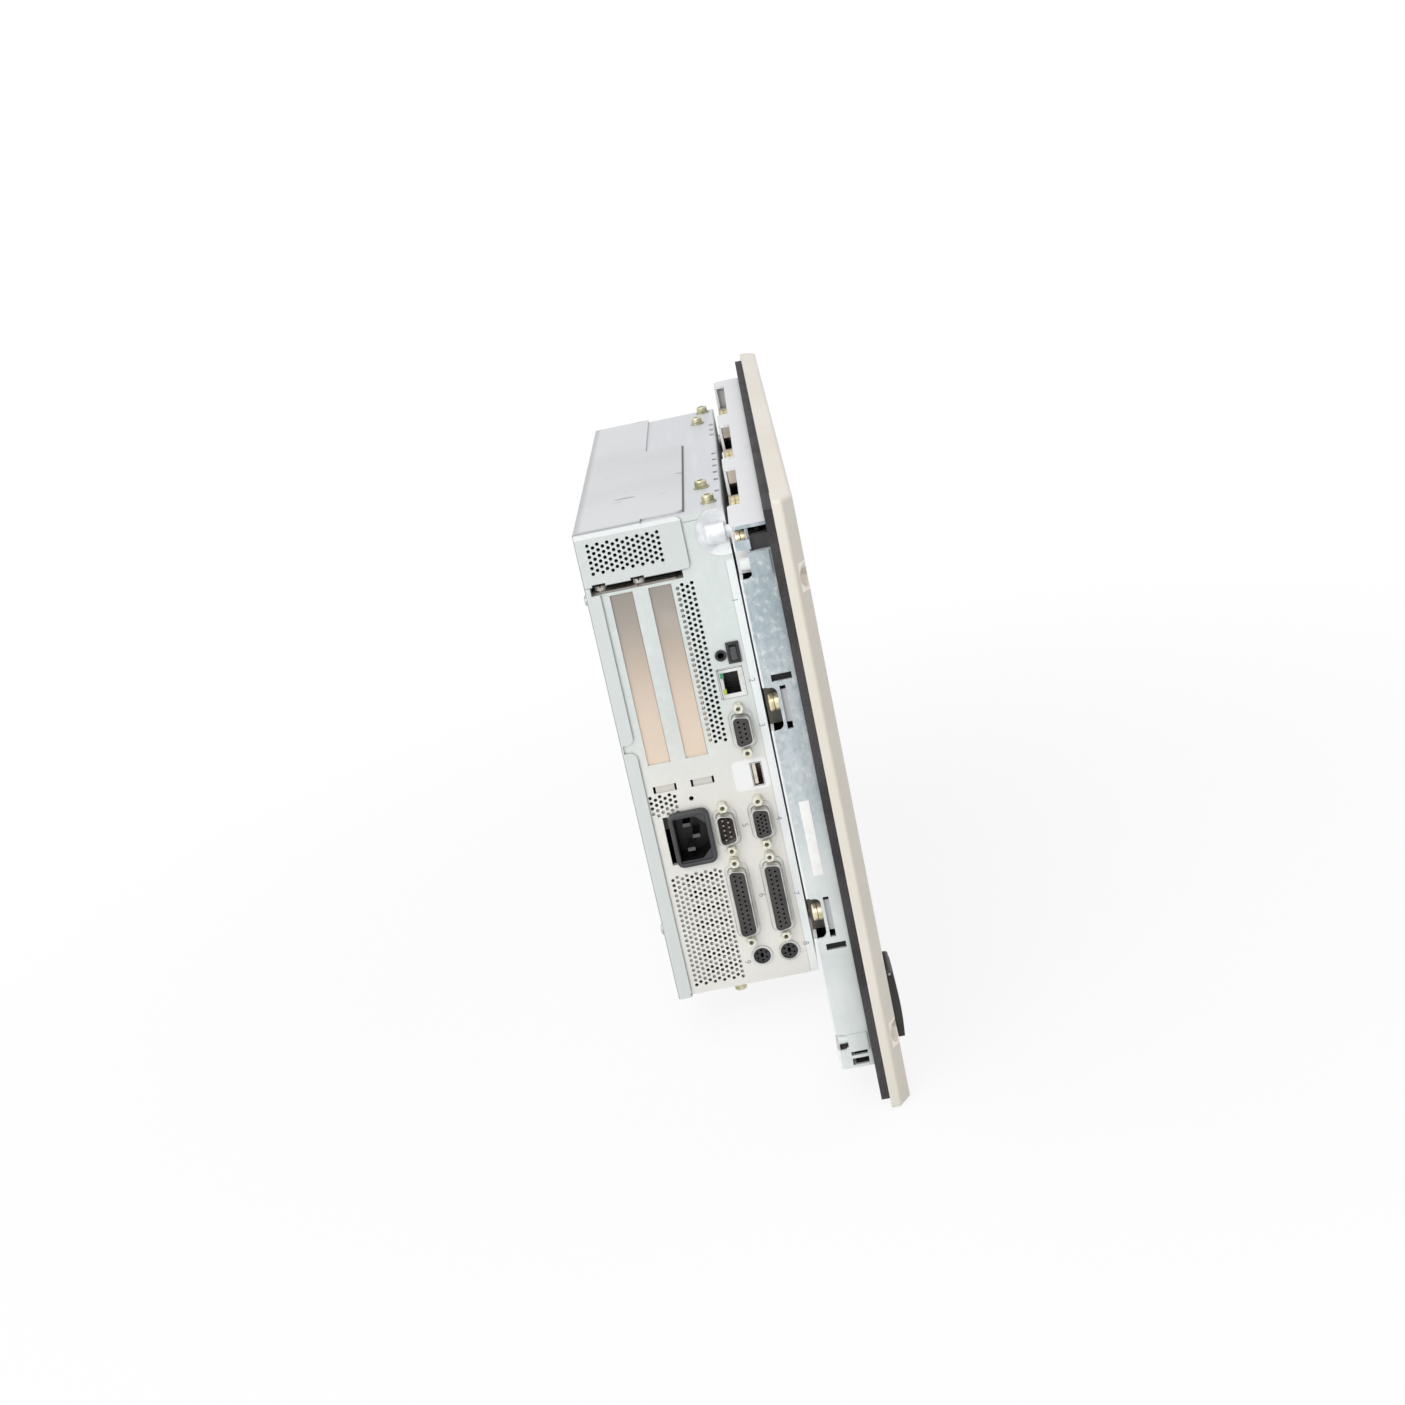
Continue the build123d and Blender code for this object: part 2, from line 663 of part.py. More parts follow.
with BuildPart() as port_plate:
    block((port_out, port_in), (unit_y[0], unit_y[1]), unit_z)
    with BuildSketch(seat("x", port_out)):
        for y, z, length, pitch in connectors.values():
            dsub_outline((y, z), length + 2 * (dsub_rim + slip), dsub_width + 2 * (dsub_rim + slip))
            with Locations((y, z + pitch / 2), (y, z - pitch / 2)):
                Circle(jack_screw_shank)
        with Locations(*round_sockets.values()):
            Circle(round_collar_radius)
        port_field((lan_width + 2 * slip, lan_length + 2 * slip), lan_place)
        port_field((usb_shell_short + 2 * slip, usb_shell_long + 2 * slip), usb_place)
        port_field((switch_width - 2 * switch_rim, switch_length - 2 * switch_rim), switch_place)
        with Locations(jack_place):
            Circle(jack_radius)
        for y in card_places:
            port_field((card_window_width, card_window_span[1] - card_window_span[0]),
                       (y, sum(card_window_span) / 2))
            port_field((tongue_slot_width, tongue_slot_height), (y, tongue_slot_z))
        with Locations(earth_screw_place):
            Circle(earth_screw_radius)
        card_recess()
        port_field(corner_hole, corner_hole_place)
        inlet_outline(tuple(side + 2 * slip for side in inlet_body), inlet_cut)
        port_field(inlet_gap_size, inlet_gap_place)
    extrude(amount=sheet, mode=Mode.SUBTRACT)
    with BuildSketch(seat("x", port_out)):
        for window in vent_windows:
            with Locations(*vent_centres(*window)):
                Circle(vent_radius)
    extrude(amount=sheet, mode=Mode.SUBTRACT)
    for z in back_screw_z:
        block((port_in, port_in + screw_tab_reach), screw_tab_y, limits(z, screw_tab_width))
    rods("y", screw_tab_y, back_screws[:2], dome_shank, mode=Mode.SUBTRACT)
keep(port_plate, "port_plate")

# Hinge at the port plate's upper corner: a cast half with a foot disc on the plate and a barrel
# that reaches to the operator frame
hinge_foot_radius = 13.0
hinge_foot_height = 0.7
hinge_foot_place = (27.5, 120.5)
barrel_rise = 1.8
barrel_x = port_out - barrel_rise
barrel_z = 119.8
barrel_radius = 5.4
barrel_span = (25.5, 36.2)
barrel_round = 2.6
neck_radius = 3.4
with BuildPart() as corner_hinge:
    with BuildSketch(seat("x", port_out)):
        with Locations(hinge_foot_place):
            Circle(hinge_foot_radius)
        port_field((hinge_foot_radius * 2, hinge_foot_radius * 4),
                   (unit_y[0] - hinge_foot_radius, hinge_foot_place[1]), mode=Mode.SUBTRACT)
        port_field((hinge_foot_radius * 4, hinge_foot_radius * 2),
                   (hinge_foot_place[0], unit_z[1] + hinge_foot_radius), mode=Mode.SUBTRACT)
    extrude(amount=-hinge_foot_height)
    rod("y", barrel_span, (barrel_x, barrel_z), barrel_radius)
    crowns = corner_hinge.edges().filter_by_position(Axis.Y, barrel_span[1] - slip, barrel_span[1] + slip)
    fillet(crowns.filter_by(GeomType.CIRCLE), barrel_round)
    rod("y", (frame_depth, barrel_span[0]), (barrel_x, barrel_z), neck_radius)
    block((port_out, port_out + 2 * barrel_radius), (frame_depth, barrel_span[1]),
          limits(barrel_z, 2 * barrel_radius), mode=Mode.SUBTRACT)
keep(corner_hinge, "corner_hinge")

# Screws that close the box: yellow ones on top and below, domed grey ones at the back
cap_radius = 3.3
cap_height = 4.2
cap_round = 1.0
cap_flange_radius = 4.2
cap_flange_height = 0.9
cap_socket = 3.0
cap_shank = 1.5
cap_length = 5.0
dome_radius = 3.2
dome_height = 2.0
dome_length = 3.0
dome_round = 1.5
top_screws = [(-104.0, 31.2), (-63.5, 34.5), (138.0, 34.9), (176.0, 31.2)]
bottom_screws = [(-117.4, 68.0), (172.0, 68.0)]

# Openings in the far wall for the disc drive and the fan
drive_width = 128.0
drive_thickness = 12.7
drive_length = 129.0
drive_z = 54.0
drive_front_depth = 4.0
fan_size = 60.0
fan_depth = 25.0
fan_y = 58.2
fan_z = -90.0
fan_vent_radius = 26.5
fan_screw_pitch = 50.0
fan_screw_radius = 1.6
relief_length = 5.0
relief_width = 2.4
relief_inset = 1.0
relief_groups = [(107.4, 17.6, 3), (0.0, 18.4, 4), (-63.6, 31.0, 2)]
drive_span_y = (floor_in, floor_in + drive_thickness)

with BuildPart() as unit_chassis:
    block((port_in, far_out), unit_y, unit_z)
    front_bends = unit_chassis.faces().sort_by(Axis.Y)[0].edges().filter_by(Axis.X)
    far_bends = unit_chassis.faces().sort_by(Axis.X)[-1].edges().filter_by(Axis.Y)
    fillet(front_bends + far_bends, bend_radius)
    block((port_in, far_in), (floor_in, unit_y[1]), (bottom_in, top_in), mode=Mode.SUBTRACT)
    block((far_in, far_out), (drive_span_y[0], drive_span_y[1] + slip),
          limits(drive_z, drive_width + 2 * slip), mode=Mode.SUBTRACT)
    with BuildSketch(seat("x", far_in)):
        reach = fan_vent_radius - vent_radius
        window = (limits(fan_y, 2 * reach), limits(fan_z, 2 * reach))
        inside = [place for place in vent_centres(*window)
                  if (place[0] - fan_y) ** 2 + (place[1] - fan_z) ** 2 <= reach ** 2]
        with Locations(*inside):
            Circle(vent_radius)
        with Locations((fan_y, fan_z)):
            with GridLocations(fan_screw_pitch, fan_screw_pitch, 2, 2):
                Circle(fan_screw_radius)
    extrude(amount=sheet, mode=Mode.SUBTRACT)
    rods("z", (top_in, unit_z[1]), top_screws, cap_shank, mode=Mode.SUBTRACT)
    rods("z", (unit_z[0], bottom_in), bottom_screws, cap_shank, mode=Mode.SUBTRACT)
    with BuildSketch(seat("z", top_in)):
        for middle, pitch, count in relief_groups:
            with Locations((middle, floor_in + relief_inset)):
                with GridLocations(pitch, pitch, count, 1):
                    Rectangle(relief_length, relief_width)
    extrude(amount=sheet, mode=Mode.SUBTRACT)
    for z in back_screw_z:
        block((far_in - screw_tab_reach, far_in), screw_tab_y, limits(z, screw_tab_width))
    rods("y", screw_tab_y, back_screws[2:], dome_shank, mode=Mode.SUBTRACT)
    block(limits(cable_gate_x, cable_gate_width), (unit_y[0], floor_in),
          limits(cable_gate_z, cable_gate_height), mode=Mode.SUBTRACT)
keep(unit_chassis, "unit_chassis")

# Rear cover: a shallow lid whose top flange is stepped round the drive bay
cover_top_near = (-116.0, 72.0)
cover_edge_low = 44.7
cover_edge_high = 67.0
cover_edge_corner = 4.0
cover_notch_z = 15.0
cover_notch = 4.5
cover_far_strip = 20.0
cover_tab_edge = 46.5
cover_tab_low = 104.5
cover_tab_corner = 3.0
cover_x = (port_out - sheet, far_out + sheet)
cover_z = (unit_z[0] - sheet, unit_z[1] + sheet)
with BuildPart() as rear_cover:
    block(cover_x, (cover_in, cover_out), cover_z)
    fillet(rear_cover.faces().sort_by(Axis.Y)[-1].edges(), bend_radius)
    with BuildSketch(seat("z", unit_z[1])) as flange:
        with BuildLine():
            Polyline((cover_x[0], cover_in), (cover_x[0], cover_edge_high),
                     (cover_top_near[0], cover_edge_high), (cover_top_near[0], cover_edge_low),
                     (cover_top_near[1], cover_edge_low), (cover_top_near[1], cover_edge_high),
                     (cover_x[1], cover_edge_high), (cover_x[1], cover_in), close=True)
        make_face()
        rounded = flange.vertices().filter_by_position(Axis.Y, cover_edge_low, cover_edge_low + slip)
        fillet(rounded, cover_edge_corner)
    extrude(amount=sheet)
    block(cover_x, (cover_in - cover_strip, cover_in), (cover_z[0], unit_z[0]))
    with BuildSketch(seat("x", cover_x[0])) as near_flange:
        strip_edge = cover_in - cover_strip
        for span in ((cover_z[0], cover_notch_z - cover_notch / 2),
                     (cover_notch_z + cover_notch / 2, unit_z[1])):
            port_field((cover_strip, span[1] - span[0]), (cover_in - cover_strip / 2, sum(span) / 2))
        free_ends = near_flange.vertices().filter_by_position(Axis.X, strip_edge - slip, strip_edge + slip)
        fillet(free_ends, cover_edge_corner)
        port_field((cover_in - cover_tab_edge, unit_z[1] - cover_tab_low),
                   ((cover_in + cover_tab_edge) / 2, (unit_z[1] + cover_tab_low) / 2))
        tab_ends = near_flange.vertices().filter_by_position(Axis.X, cover_tab_edge - slip,
                                                             cover_tab_edge + slip)
        fillet(tab_ends, cover_tab_corner)
        card_recess(mode=Mode.SUBTRACT)
    extrude(amount=sheet)
    with BuildSketch(seat("x", cover_x[0])):
        with Locations(*vent_centres(*vent_windows[0])):
            Circle(vent_radius)
    extrude(amount=sheet, mode=Mode.SUBTRACT)
    block((far_out, cover_x[1]), (cover_in - cover_far_strip, cover_in), unit_z)
    rods("y", (cover_in, cover_out), back_screws, dome_shank, mode=Mode.SUBTRACT)
keep(rear_cover, "rear_cover")

with BuildPart() as yellow_screws:
    rods("z", (unit_z[1], unit_z[1] + cap_height), top_screws, cap_radius)
    rods("z", (unit_z[0] - cap_height, unit_z[0]), bottom_screws, cap_radius)
    outer = inset(unit_z, slip - cap_height)
    crowns = [edge for edge in yellow_screws.edges() if not outer[0] < edge.center().Z < outer[1]]
    fillet(crowns, cap_round)
    rods("z", (unit_z[1], unit_z[1] + cap_flange_height), top_screws, cap_flange_radius)
    rods("z", (unit_z[0] - cap_flange_height, unit_z[0]), bottom_screws, cap_flange_radius)
    rods("z", (unit_z[1] - cap_length, unit_z[1]), top_screws, cap_shank)
    rods("z", (unit_z[0], unit_z[0] + cap_length), bottom_screws, cap_shank)
    hex_bars("z", (unit_z[1] + cap_height / 2, unit_z[1] + cap_height), top_screws, cap_socket,
             mode=Mode.SUBTRACT)
    hex_bars("z", (unit_z[0] - cap_height, unit_z[0] - cap_height / 2), bottom_screws, cap_socket,
             mode=Mode.SUBTRACT)
keep(yellow_screws, "yellow_screws")

with BuildPart() as cover_screws:
    rods("y", (cover_out, cover_out + dome_height), back_screws, dome_radius)
    crown = cover_out + dome_height
    crowns = cover_screws.edges().filter_by_position(Axis.Y, crown - slip, crown + slip)
    fillet(crowns, dome_round)
    rods("y", (cover_in - dome_length, cover_out), back_screws, dome_shank)
keep(cover_screws, "cover_screws")

# Card slots: a ledge behind the recess, two blanking brackets and their screws
shelf_reach = 13.0
shelf_sheet = 1.2
card_screw_radius = 3.1
card_screw_height = 2.3
card_screw_shank = 1.5
card_screw_length = 6.0
card_screw_inset = 6.6
card_screw_slot = 0.8
card_screw_slot_depth = 0.9
bracket_in = port_in + card_bracket_sheet
shelf_z = (card_shelf_top - shelf_sheet, card_shelf_top)
tab_z = (card_shelf_top, card_shelf_top + card_bracket_sheet)
card_screw_places = [(port_in + card_screw_inset, y) for y in card_screw_rows]
card_tab_notch = 2.2
with BuildPart() as card_shelf:
    block((port_in, port_in + shelf_reach), card_recess_span_y, shelf_z)
    for y in card_places:
        block((port_in, bracket_in + slip), limits(y, card_bracket_width + 2 * slip), shelf_z,
              mode=Mode.SUBTRACT)
    rods("z", shelf_z, card_screw_places, card_screw_shank, mode=Mode.SUBTRACT)
keep(card_shelf, "card_shelf")

with BuildPart() as card_brackets:
    for y in card_places:
        block((port_in, bracket_in), limits(y, card_bracket_width), (0, tab_z[1]))
        block((port_in, port_in + card_tab_reach), limits(y, card_bracket_width), tab_z)
        block((port_in, bracket_in), limits(y, card_tongue_width), (card_tongue_end, 0))
    rods("z", tab_z, card_screw_places, card_tab_notch, mode=Mode.SUBTRACT)
keep(card_brackets, "card_brackets")

card_screw_top = tab_z[1] + card_screw_height
with BuildPart() as card_screws:
    rods("z", (tab_z[1], card_screw_top), card_screw_places, card_screw_radius)
    rods("z", (tab_z[1] - card_screw_length, tab_z[1]), card_screw_places, card_screw_shank)
    for x, y in card_screw_places:
        block(limits(x, 2 * card_screw_radius), limits(y, card_screw_slot),
              (card_screw_top - card_screw_slot_depth, card_screw_top), mode=Mode.SUBTRACT)
keep(card_screws, "card_screws")

# Boards: the main board stands on posts, with a smaller port board above it
post_height = 3.7
post_radius = 3.0
post_inset = 8.0
board_sheet = 1.6
board_gap = 1.0
main_board_width = 168.0
main_board_margin = 4.5
main_board_x = (port_in + board_gap, port_in + board_gap + main_board_width)
main_board_z = inset((bottom_in, top_in), main_board_margin)
board_low = floor_in + post_height
board_top = board_low + board_sheet
chip_size = 38.0
chip_height = 3.0
chip_x = -60.0
chip_z = 60.0
chip_back = board_top + chip_height
with BuildPart() as main_board:
    block(main_board_x, (board_low, board_top), main_board_z)
    block(limits(chip_x, chip_size), (board_top, chip_back), limits(chip_z, chip_size))
keep(main_board, "main_board")

with BuildPart() as board_posts:
    post_z = inset(main_board_z, post_inset)
    rows_z = (post_z[0], sum(post_z) / 2, post_z[1])
    places = [(x, z) for x in inset(main_board_x, post_inset) for z in rows_z]
    rods("y", (floor_in, board_low), places, post_radius)
keep(board_posts, "board_posts")

sink_base = 5.0
sink_fin = 1.2
sink_fins = 12
sink_height = 26.0
sink_size = 62.0
sink_pitch = (sink_size - sink_fin) / (sink_fins - 1)
with BuildPart() as processor_heatsink:
    block(limits(chip_x, sink_size), (chip_back, chip_back + sink_base), limits(chip_z, sink_size))
    with BuildSketch(seat("y", chip_back + sink_base)):
        with Locations((chip_x, chip_z)):
            with GridLocations(sink_pitch, sink_pitch, 1, sink_fins):
                Rectangle(sink_size, sink_fin)
    extrude(amount=along("y", sink_height - sink_base))
keep(processor_heatsink, "processor_heatsink")

module_length = 126.5
module_socket_length = 133.0
module_socket_width = 6.5
module_socket_height = 10.0
module_height = 32.0
module_x = 20.0
module_z = 48.0
with BuildPart() as memory_module:
    block(limits(module_x, module_socket_width), (board_top, board_top + module_socket_height),
          limits(module_z, module_socket_length))
    block(limits(module_x, board_sheet), (board_top + module_socket_height, board_top + module_height),
          limits(module_z, module_length))
keep(memory_module, "memory_module")

riser_x = (-98.0, 6.0)
riser_place_z = -8.0
riser_z = limits(riser_place_z, board_sheet)
riser_margin = 3.0
riser_slot_inset = 8.0
riser_slot_length = 84.0
riser_slot_width = 8.0
riser_slot_height = 12.0
with BuildPart() as riser_board:
    block(riser_x, (board_top, cover_in - riser_margin), riser_z)
    for y in card_places:
        block((riser_x[0] + riser_slot_inset, riser_x[0] + riser_slot_inset + riser_slot_length),
              limits(y, riser_slot_width), (riser_z[1], riser_z[1] + riser_slot_height))
keep(riser_board, "riser_board")

port_board_x = (port_in + board_gap, -66.0)
port_board_low = 47.6
port_board_y = (port_board_low, port_board_low + board_sheet)
port_board_z = (-109.0, -20.0)
with BuildPart() as port_board:
    block(port_board_x, port_board_y, port_board_z)
    places = [(port_board_x[1] - post_inset, z) for z in inset(port_board_z, post_inset)]
    rods("y", (board_top, port_board_y[0]), places, post_radius)
keep(port_board, "port_board")

# D shaped connectors: a pressed metal shell through the plate, a moulded body behind it
pin_counts = {"bus_port": (5, 4), "serial_port": (5, 4), "monitor_port": (5, 5, 5),
              "long_serial_port": (13, 12), "printer_port": (13, 12)}
pin_pitch = 2.77
fine_pin_pitch = 2.29
pin_row_gap = 2.84
fine_row_gap = 1.98
pin_radius = 0.5
pin_bore = 0.6
pin_bore_depth = 4.0
pin_reach = 4.6
insert_setback = 0.3
pin_setback = 5.6
shell_mouth = port_out - dsub_reach
body_front = port_in + dsub_flange_depth


def contact_places(name):
    """Contact places of a connector, row by row, on the port plate's plane."""
    centre_y, centre_z = connectors[name][:2]
    rows = pin_counts[name]
    fine = len(rows) > 2
    pitch = fine_pin_pitch if fine else pin_pitch
    row_gap = fine_row_gap if fine else pin_row_gap
    places = []
    for row, count in enumerate(rows):
        across = centre_y + ((len(rows) - 1) / 2 - row) * row_gap
        shift = (row % 2 - 1 / 2) * pitch / 2 if fine else 0
        start = centre_z + shift - (count - 1) / 2 * pitch
        places += [(across, start + index * pitch) for index in range(count)]
    return places


def connector_body(name, front):
    """Moulded connector body: a tongue in the metal shell and a foot down to its board."""
    centre_y, centre_z, length, pitch = connectors[name]
    foot = board_top if centre_y == port_row_low else port_board_y[1]
    with BuildSketch(seat("x", front)) as tongue:
        dsub_outline((centre_y, centre_z), length, dsub_width)
    extrude(tongue.sketch, amount=body_front - front)
    block((body_front, body_front + dsub_body_depth), (foot, centre_y + dsub_flange_width / 2),
          limits(centre_z, length + 2 * dsub_flange_margin))


with BuildPart() as dsub_shells:
    with BuildSketch(seat("x", port_in)):
        for y, z, length, pitch in connectors.values():
            port_field((dsub_flange_width, pitch + 2 * dsub_flange_margin), (y, z))
            with Locations((y, z + pitch / 2), (y, z - pitch / 2)):
                Circle(jack_screw_shank, mode=Mode.SUBTRACT)
    extrude(amount=dsub_flange_depth)
    with BuildSketch(seat("x", port_in)):
        for y, z, length, pitch in connectors.values():
            dsub_outline((y, z), length + 2 * dsub_rim, dsub_width + 2 * dsub_rim)
    extrude(amount=shell_mouth - port_in)
    with BuildSketch(seat("x", shell_mouth)):
        for y, z, length, pitch in connectors.values():
            dsub_outline((y, z), length, dsub_width)
    extrude(amount=body_front - shell_mouth, mode=Mode.SUBTRACT)
keep(dsub_shells, "dsub_shells")

insert_front = shell_mouth + insert_setback
with BuildPart() as dsub_inserts:
    contacts = []
    for name in connectors:
        if name != "serial_port":
            connector_body(name, insert_front)
            contacts += contact_places(name)
    rods("x", (insert_front, insert_front + pin_bore_depth), contacts, pin_bore, mode=Mode.SUBTRACT)
keep(dsub_inserts, "dsub_inserts")

serial_front = shell_mouth + pin_setback
with BuildPart() as serial_insert:
    connector_body("serial_port", serial_front)
keep(serial_insert, "serial_insert")

with BuildPart() as serial_pins:
    rods("x", (serial_front - pin_reach, serial_front), contact_places("serial_port"), pin_radius)
keep(serial_pins, "serial_pins")

with BuildPart() as jack_screws:
    places = [(y, z + side * pitch / 2) for y, z, length, pitch in connectors.values() for side in (-1, 1)]
    hex_bars("x", (port_out - jack_screw_reach, port_out), places, jack_screw_flats)
    rods("x", (port_out, body_front), places, jack_screw_shank)
    rods("x", (port_out - jack_screw_reach, port_out), places, jack_screw_bore, mode=Mode.SUBTRACT)
keep(jack_screws, "jack_screws")

# Round keyboard and mouse sockets with metal collars
socket_pins = 6
socket_pin_circle = 2.9
socket_pin_radius = 0.6
socket_pin_depth = 6.0
socket_key_width = 1.6
socket_key_length = 2.6
socket_turn = 30.0
round_body_end = port_in + round_socket_depth
with BuildPart() as round_socket_inserts:
    rods("x", (port_out, round_body_end), round_sockets.values(), round_socket_radius)
    for y, z in round_sockets.values():
        with BuildSketch(seat("x", port_out)):
            with Locations((y, z)):
                with PolarLocations(socket_pin_circle, socket_pins, start_angle=socket_turn):
                    Circle(socket_pin_radius)
                Rectangle(socket_key_width, socket_key_length)
        extrude(amount=socket_pin_depth, mode=Mode.SUBTRACT)
keep(round_socket_inserts, "round_socket_inserts")

with BuildPart() as socket_collars:
    rods("x", (port_out - round_collar_lip, round_body_end), round_sockets.values(), round_collar_radius)
    rods("x", (port_out - round_collar_lip, round_body_end), round_sockets.values(), round_socket_radius,
         mode=Mode.SUBTRACT)
keep(socket_collars, "socket_collars")

# Network jack: a shielded housing on the main board, with its contact comb
comb_wires = 8
comb_pitch = 1.02
comb_wire = 0.4
comb_reach = 7.0
lan_y, lan_z = lan_place
lan_span_y = limits(lan_y, lan_width)
with BuildPart() as network_jack:
    block((port_out, port_out + lan_depth), lan_span_y, limits(lan_z, lan_length))
    block((port_in, port_out + lan_depth), (board_top, lan_span_y[0]), limits(lan_z, lan_length))
    block((port_out, port_out + lan_mouth_depth), limits(lan_y, lan_mouth_width),
          limits(lan_z, lan_mouth_length), mode=Mode.SUBTRACT)
keep(network_jack, "network_jack")

with BuildPart() as network_contacts:
    comb_y = lan_y - lan_mouth_width / 2
    for wire in range(comb_wires):
        z = lan_z + (wire - (comb_wires - 1) / 2) * comb_pitch
        block((port_out + lan_mouth_depth - comb_reach, port_out + lan_mouth_depth),
              (comb_y, comb_y + comb_wire), limits(z, comb_wire))
keep(network_contacts, "network_contacts")

with BuildPart() as usb_sockets:
    usb_shell("x", port_out, usb_place, False)
    usb_shell("y", usb_front, (flap_x, service_port_z), True)
keep(usb_sockets, "usb_sockets")

usb_foot_inset = 4.0
with BuildPart() as usb_inserts:
    usb_tongue("x", port_out, usb_place, False)
    usb_tongue("y", usb_front, (flap_x, service_port_z), True)
    block((port_out + usb_foot_inset, port_out + usb_depth),
          (board_top, usb_place[0] - usb_shell_short / 2),
          limits(usb_place[1], usb_shell_long - usb_foot_inset))
keep(usb_inserts, "usb_inserts")

# Rocker switch: a frame through the plate and a rocker on two short trunnions
switch_wall = 0.6
switch_floor = 0.9
rocker_gap = 0.3
rocker_sink = 2.0
rocker_axis_x = port_out + rocker_sink
rocker_lean = 8.0
rocker_half = 3.6
rocker_rise = 2.9
rocker_root = 1.0
rocker_root_half = 1.6
trunnion_radius = 0.8
trunnion_length = 0.4
trunnion_bed = 0.5
switch_y, switch_z = switch_place
switch_body_y = limits(switch_y, switch_width - 2 * switch_rim)
switch_body_z = limits(switch_z, switch_length - 2 * switch_rim)
switch_hole_y = inset(switch_body_y, switch_wall)
switch_hole_z = inset(switch_body_z, switch_wall)
with BuildPart() as switch_frame:
    block((port_out - switch_lip, port_out), limits(switch_y, switch_width), limits(switch_z, switch_length))
    block((port_out, port_out + switch_depth), switch_body_y, switch_body_z)
    block((port_out - switch_lip, port_out + switch_depth - switch_floor), switch_hole_y,
          switch_hole_z, mode=Mode.SUBTRACT)
    rod("y", inset(switch_hole_y, -trunnion_bed), (rocker_axis_x, switch_z), trunnion_radius + running,
        mode=Mode.SUBTRACT)
keep(switch_frame, "switch_frame")

rocker_y = inset(switch_hole_y, rocker_gap)
rocker_end_rise = rocker_rise + rocker_half * tan(radians(rocker_lean))
with BuildPart() as power_rocker:
    with BuildSketch(seat("y", rocker_y[0])):
        with Locations(Location((rocker_axis_x, switch_z), rocker_lean)):
            Polygon((rocker_root, -rocker_root_half), (rocker_root, rocker_root_half),
                    (0, rocker_half), (-rocker_end_rise, rocker_half), (-rocker_rise, 0),
                    (-rocker_end_rise, -rocker_half), (0, -rocker_half), align=None)
    extrude(amount=along("y", rocker_y[1] - rocker_y[0]))
    rod("y", inset(switch_hole_y, -trunnion_length), (rocker_axis_x, switch_z), trunnion_radius)
keep(power_rocker, "power_rocker")

# Round audio jack
jack_body = 7.4
jack_y, jack_z = jack_place
jack_mouth = port_out - jack_lip
with BuildPart() as audio_jack:
    rod("x", (jack_mouth, port_in), jack_place, jack_radius)
    block((port_in, port_in + jack_depth), limits(jack_y, jack_body), limits(jack_z, jack_body))
    rod("x", (jack_mouth, port_in + jack_depth - sheet), jack_place, jack_bore, mode=Mode.SUBTRACT)
keep(audio_jack, "audio_jack")

# Power supply: a sheet case with a slotted wall behind the port plate, its board and the mains inlet
case_sheet = 1.0
case_x = (port_in, 30.0)
case_y = (64.2, 97.0)
case_z = (bottom_in, -21.8)
case_in_x = inset(case_x, case_sheet)
case_in_y = inset(case_y, case_sheet)
case_in_z = inset(case_z, case_sheet)
supply_fan_size = 32.0
supply_fan_depth = 10.0
supply_fan_bore = 15.0
supply_fan_place = (sum(case_y) / 2, -76.0)
case_slot_pitch = 9.0
case_slot_height = 5.4
case_slot_top = -65.0
case_slots = 7
case_slot_y = (case_in_y[0], 84.8)
case_notch = ((90.8, 94.0), (-71.0, -57.0))
case_wall_low = -124.4
with BuildPart() as supply_case:
    block(case_x, case_y, case_z)
    block(case_in_x, case_in_y, case_in_z, mode=Mode.SUBTRACT)
    with BuildSketch(seat("x", case_x[0])):
        inlet_outline(tuple(side + 2 * slip for side in inlet_body), inlet_cut)
        port_field(inlet_gap_size, inlet_gap_place)
        for step in range(case_slots):
            port_field((case_slot_y[1] - case_slot_y[0], case_slot_height),
                       (sum(case_slot_y) / 2, case_slot_top - step * case_slot_pitch))
        port_field(tuple(high - low for low, high in case_notch), tuple(sum(span) / 2 for span in case_notch))
        port_field((case_in_y[1] - case_in_y[0], case_wall_low - case_in_z[0]),
                   (sum(case_in_y) / 2, (case_wall_low + case_in_z[0]) / 2))
    extrude(amount=case_sheet, mode=Mode.SUBTRACT)
    rod("x", (case_in_x[1], case_x[1]), supply_fan_place, supply_fan_bore, mode=Mode.SUBTRACT)
    rod("z", (case_z[0], case_in_z[0]), bottom_screws[0], cap_shank, mode=Mode.SUBTRACT)
keep(supply_case, "supply_case")

supply_board_gap = 3.0
supply_post = 3.0
supply_board_top = case_in_y[0] + supply_post + board_sheet
coil_length = 34.0
coil_width = 30.0
coil_height = 22.0
coil_x = -40.0
coil_z = -90.0
can_radius = 9.0
can_length = 20.0
can_places = [(-78.0, -104.0), (-56.0, -52.0), (-10.0, -44.0)]
with BuildPart() as supply_board:
    board_x = (port_in + inlet_depth + supply_board_gap, case_in_x[1] - supply_board_gap)
    board_z = inset(case_in_z, supply_board_gap)
    block(board_x, (case_in_y[0] + supply_post, supply_board_top), board_z)
    places = [(x, z) for x in inset(board_x, post_inset) for z in inset(board_z, post_inset)]
    rods("y", (case_in_y[0], case_in_y[0] + supply_post), places, post_radius)
    block(limits(coil_x, coil_length), (supply_board_top, supply_board_top + coil_height),
          limits(coil_z, coil_width))
    rods("y", (supply_board_top, supply_board_top + can_length), can_places, can_radius)
keep(supply_board, "supply_board")

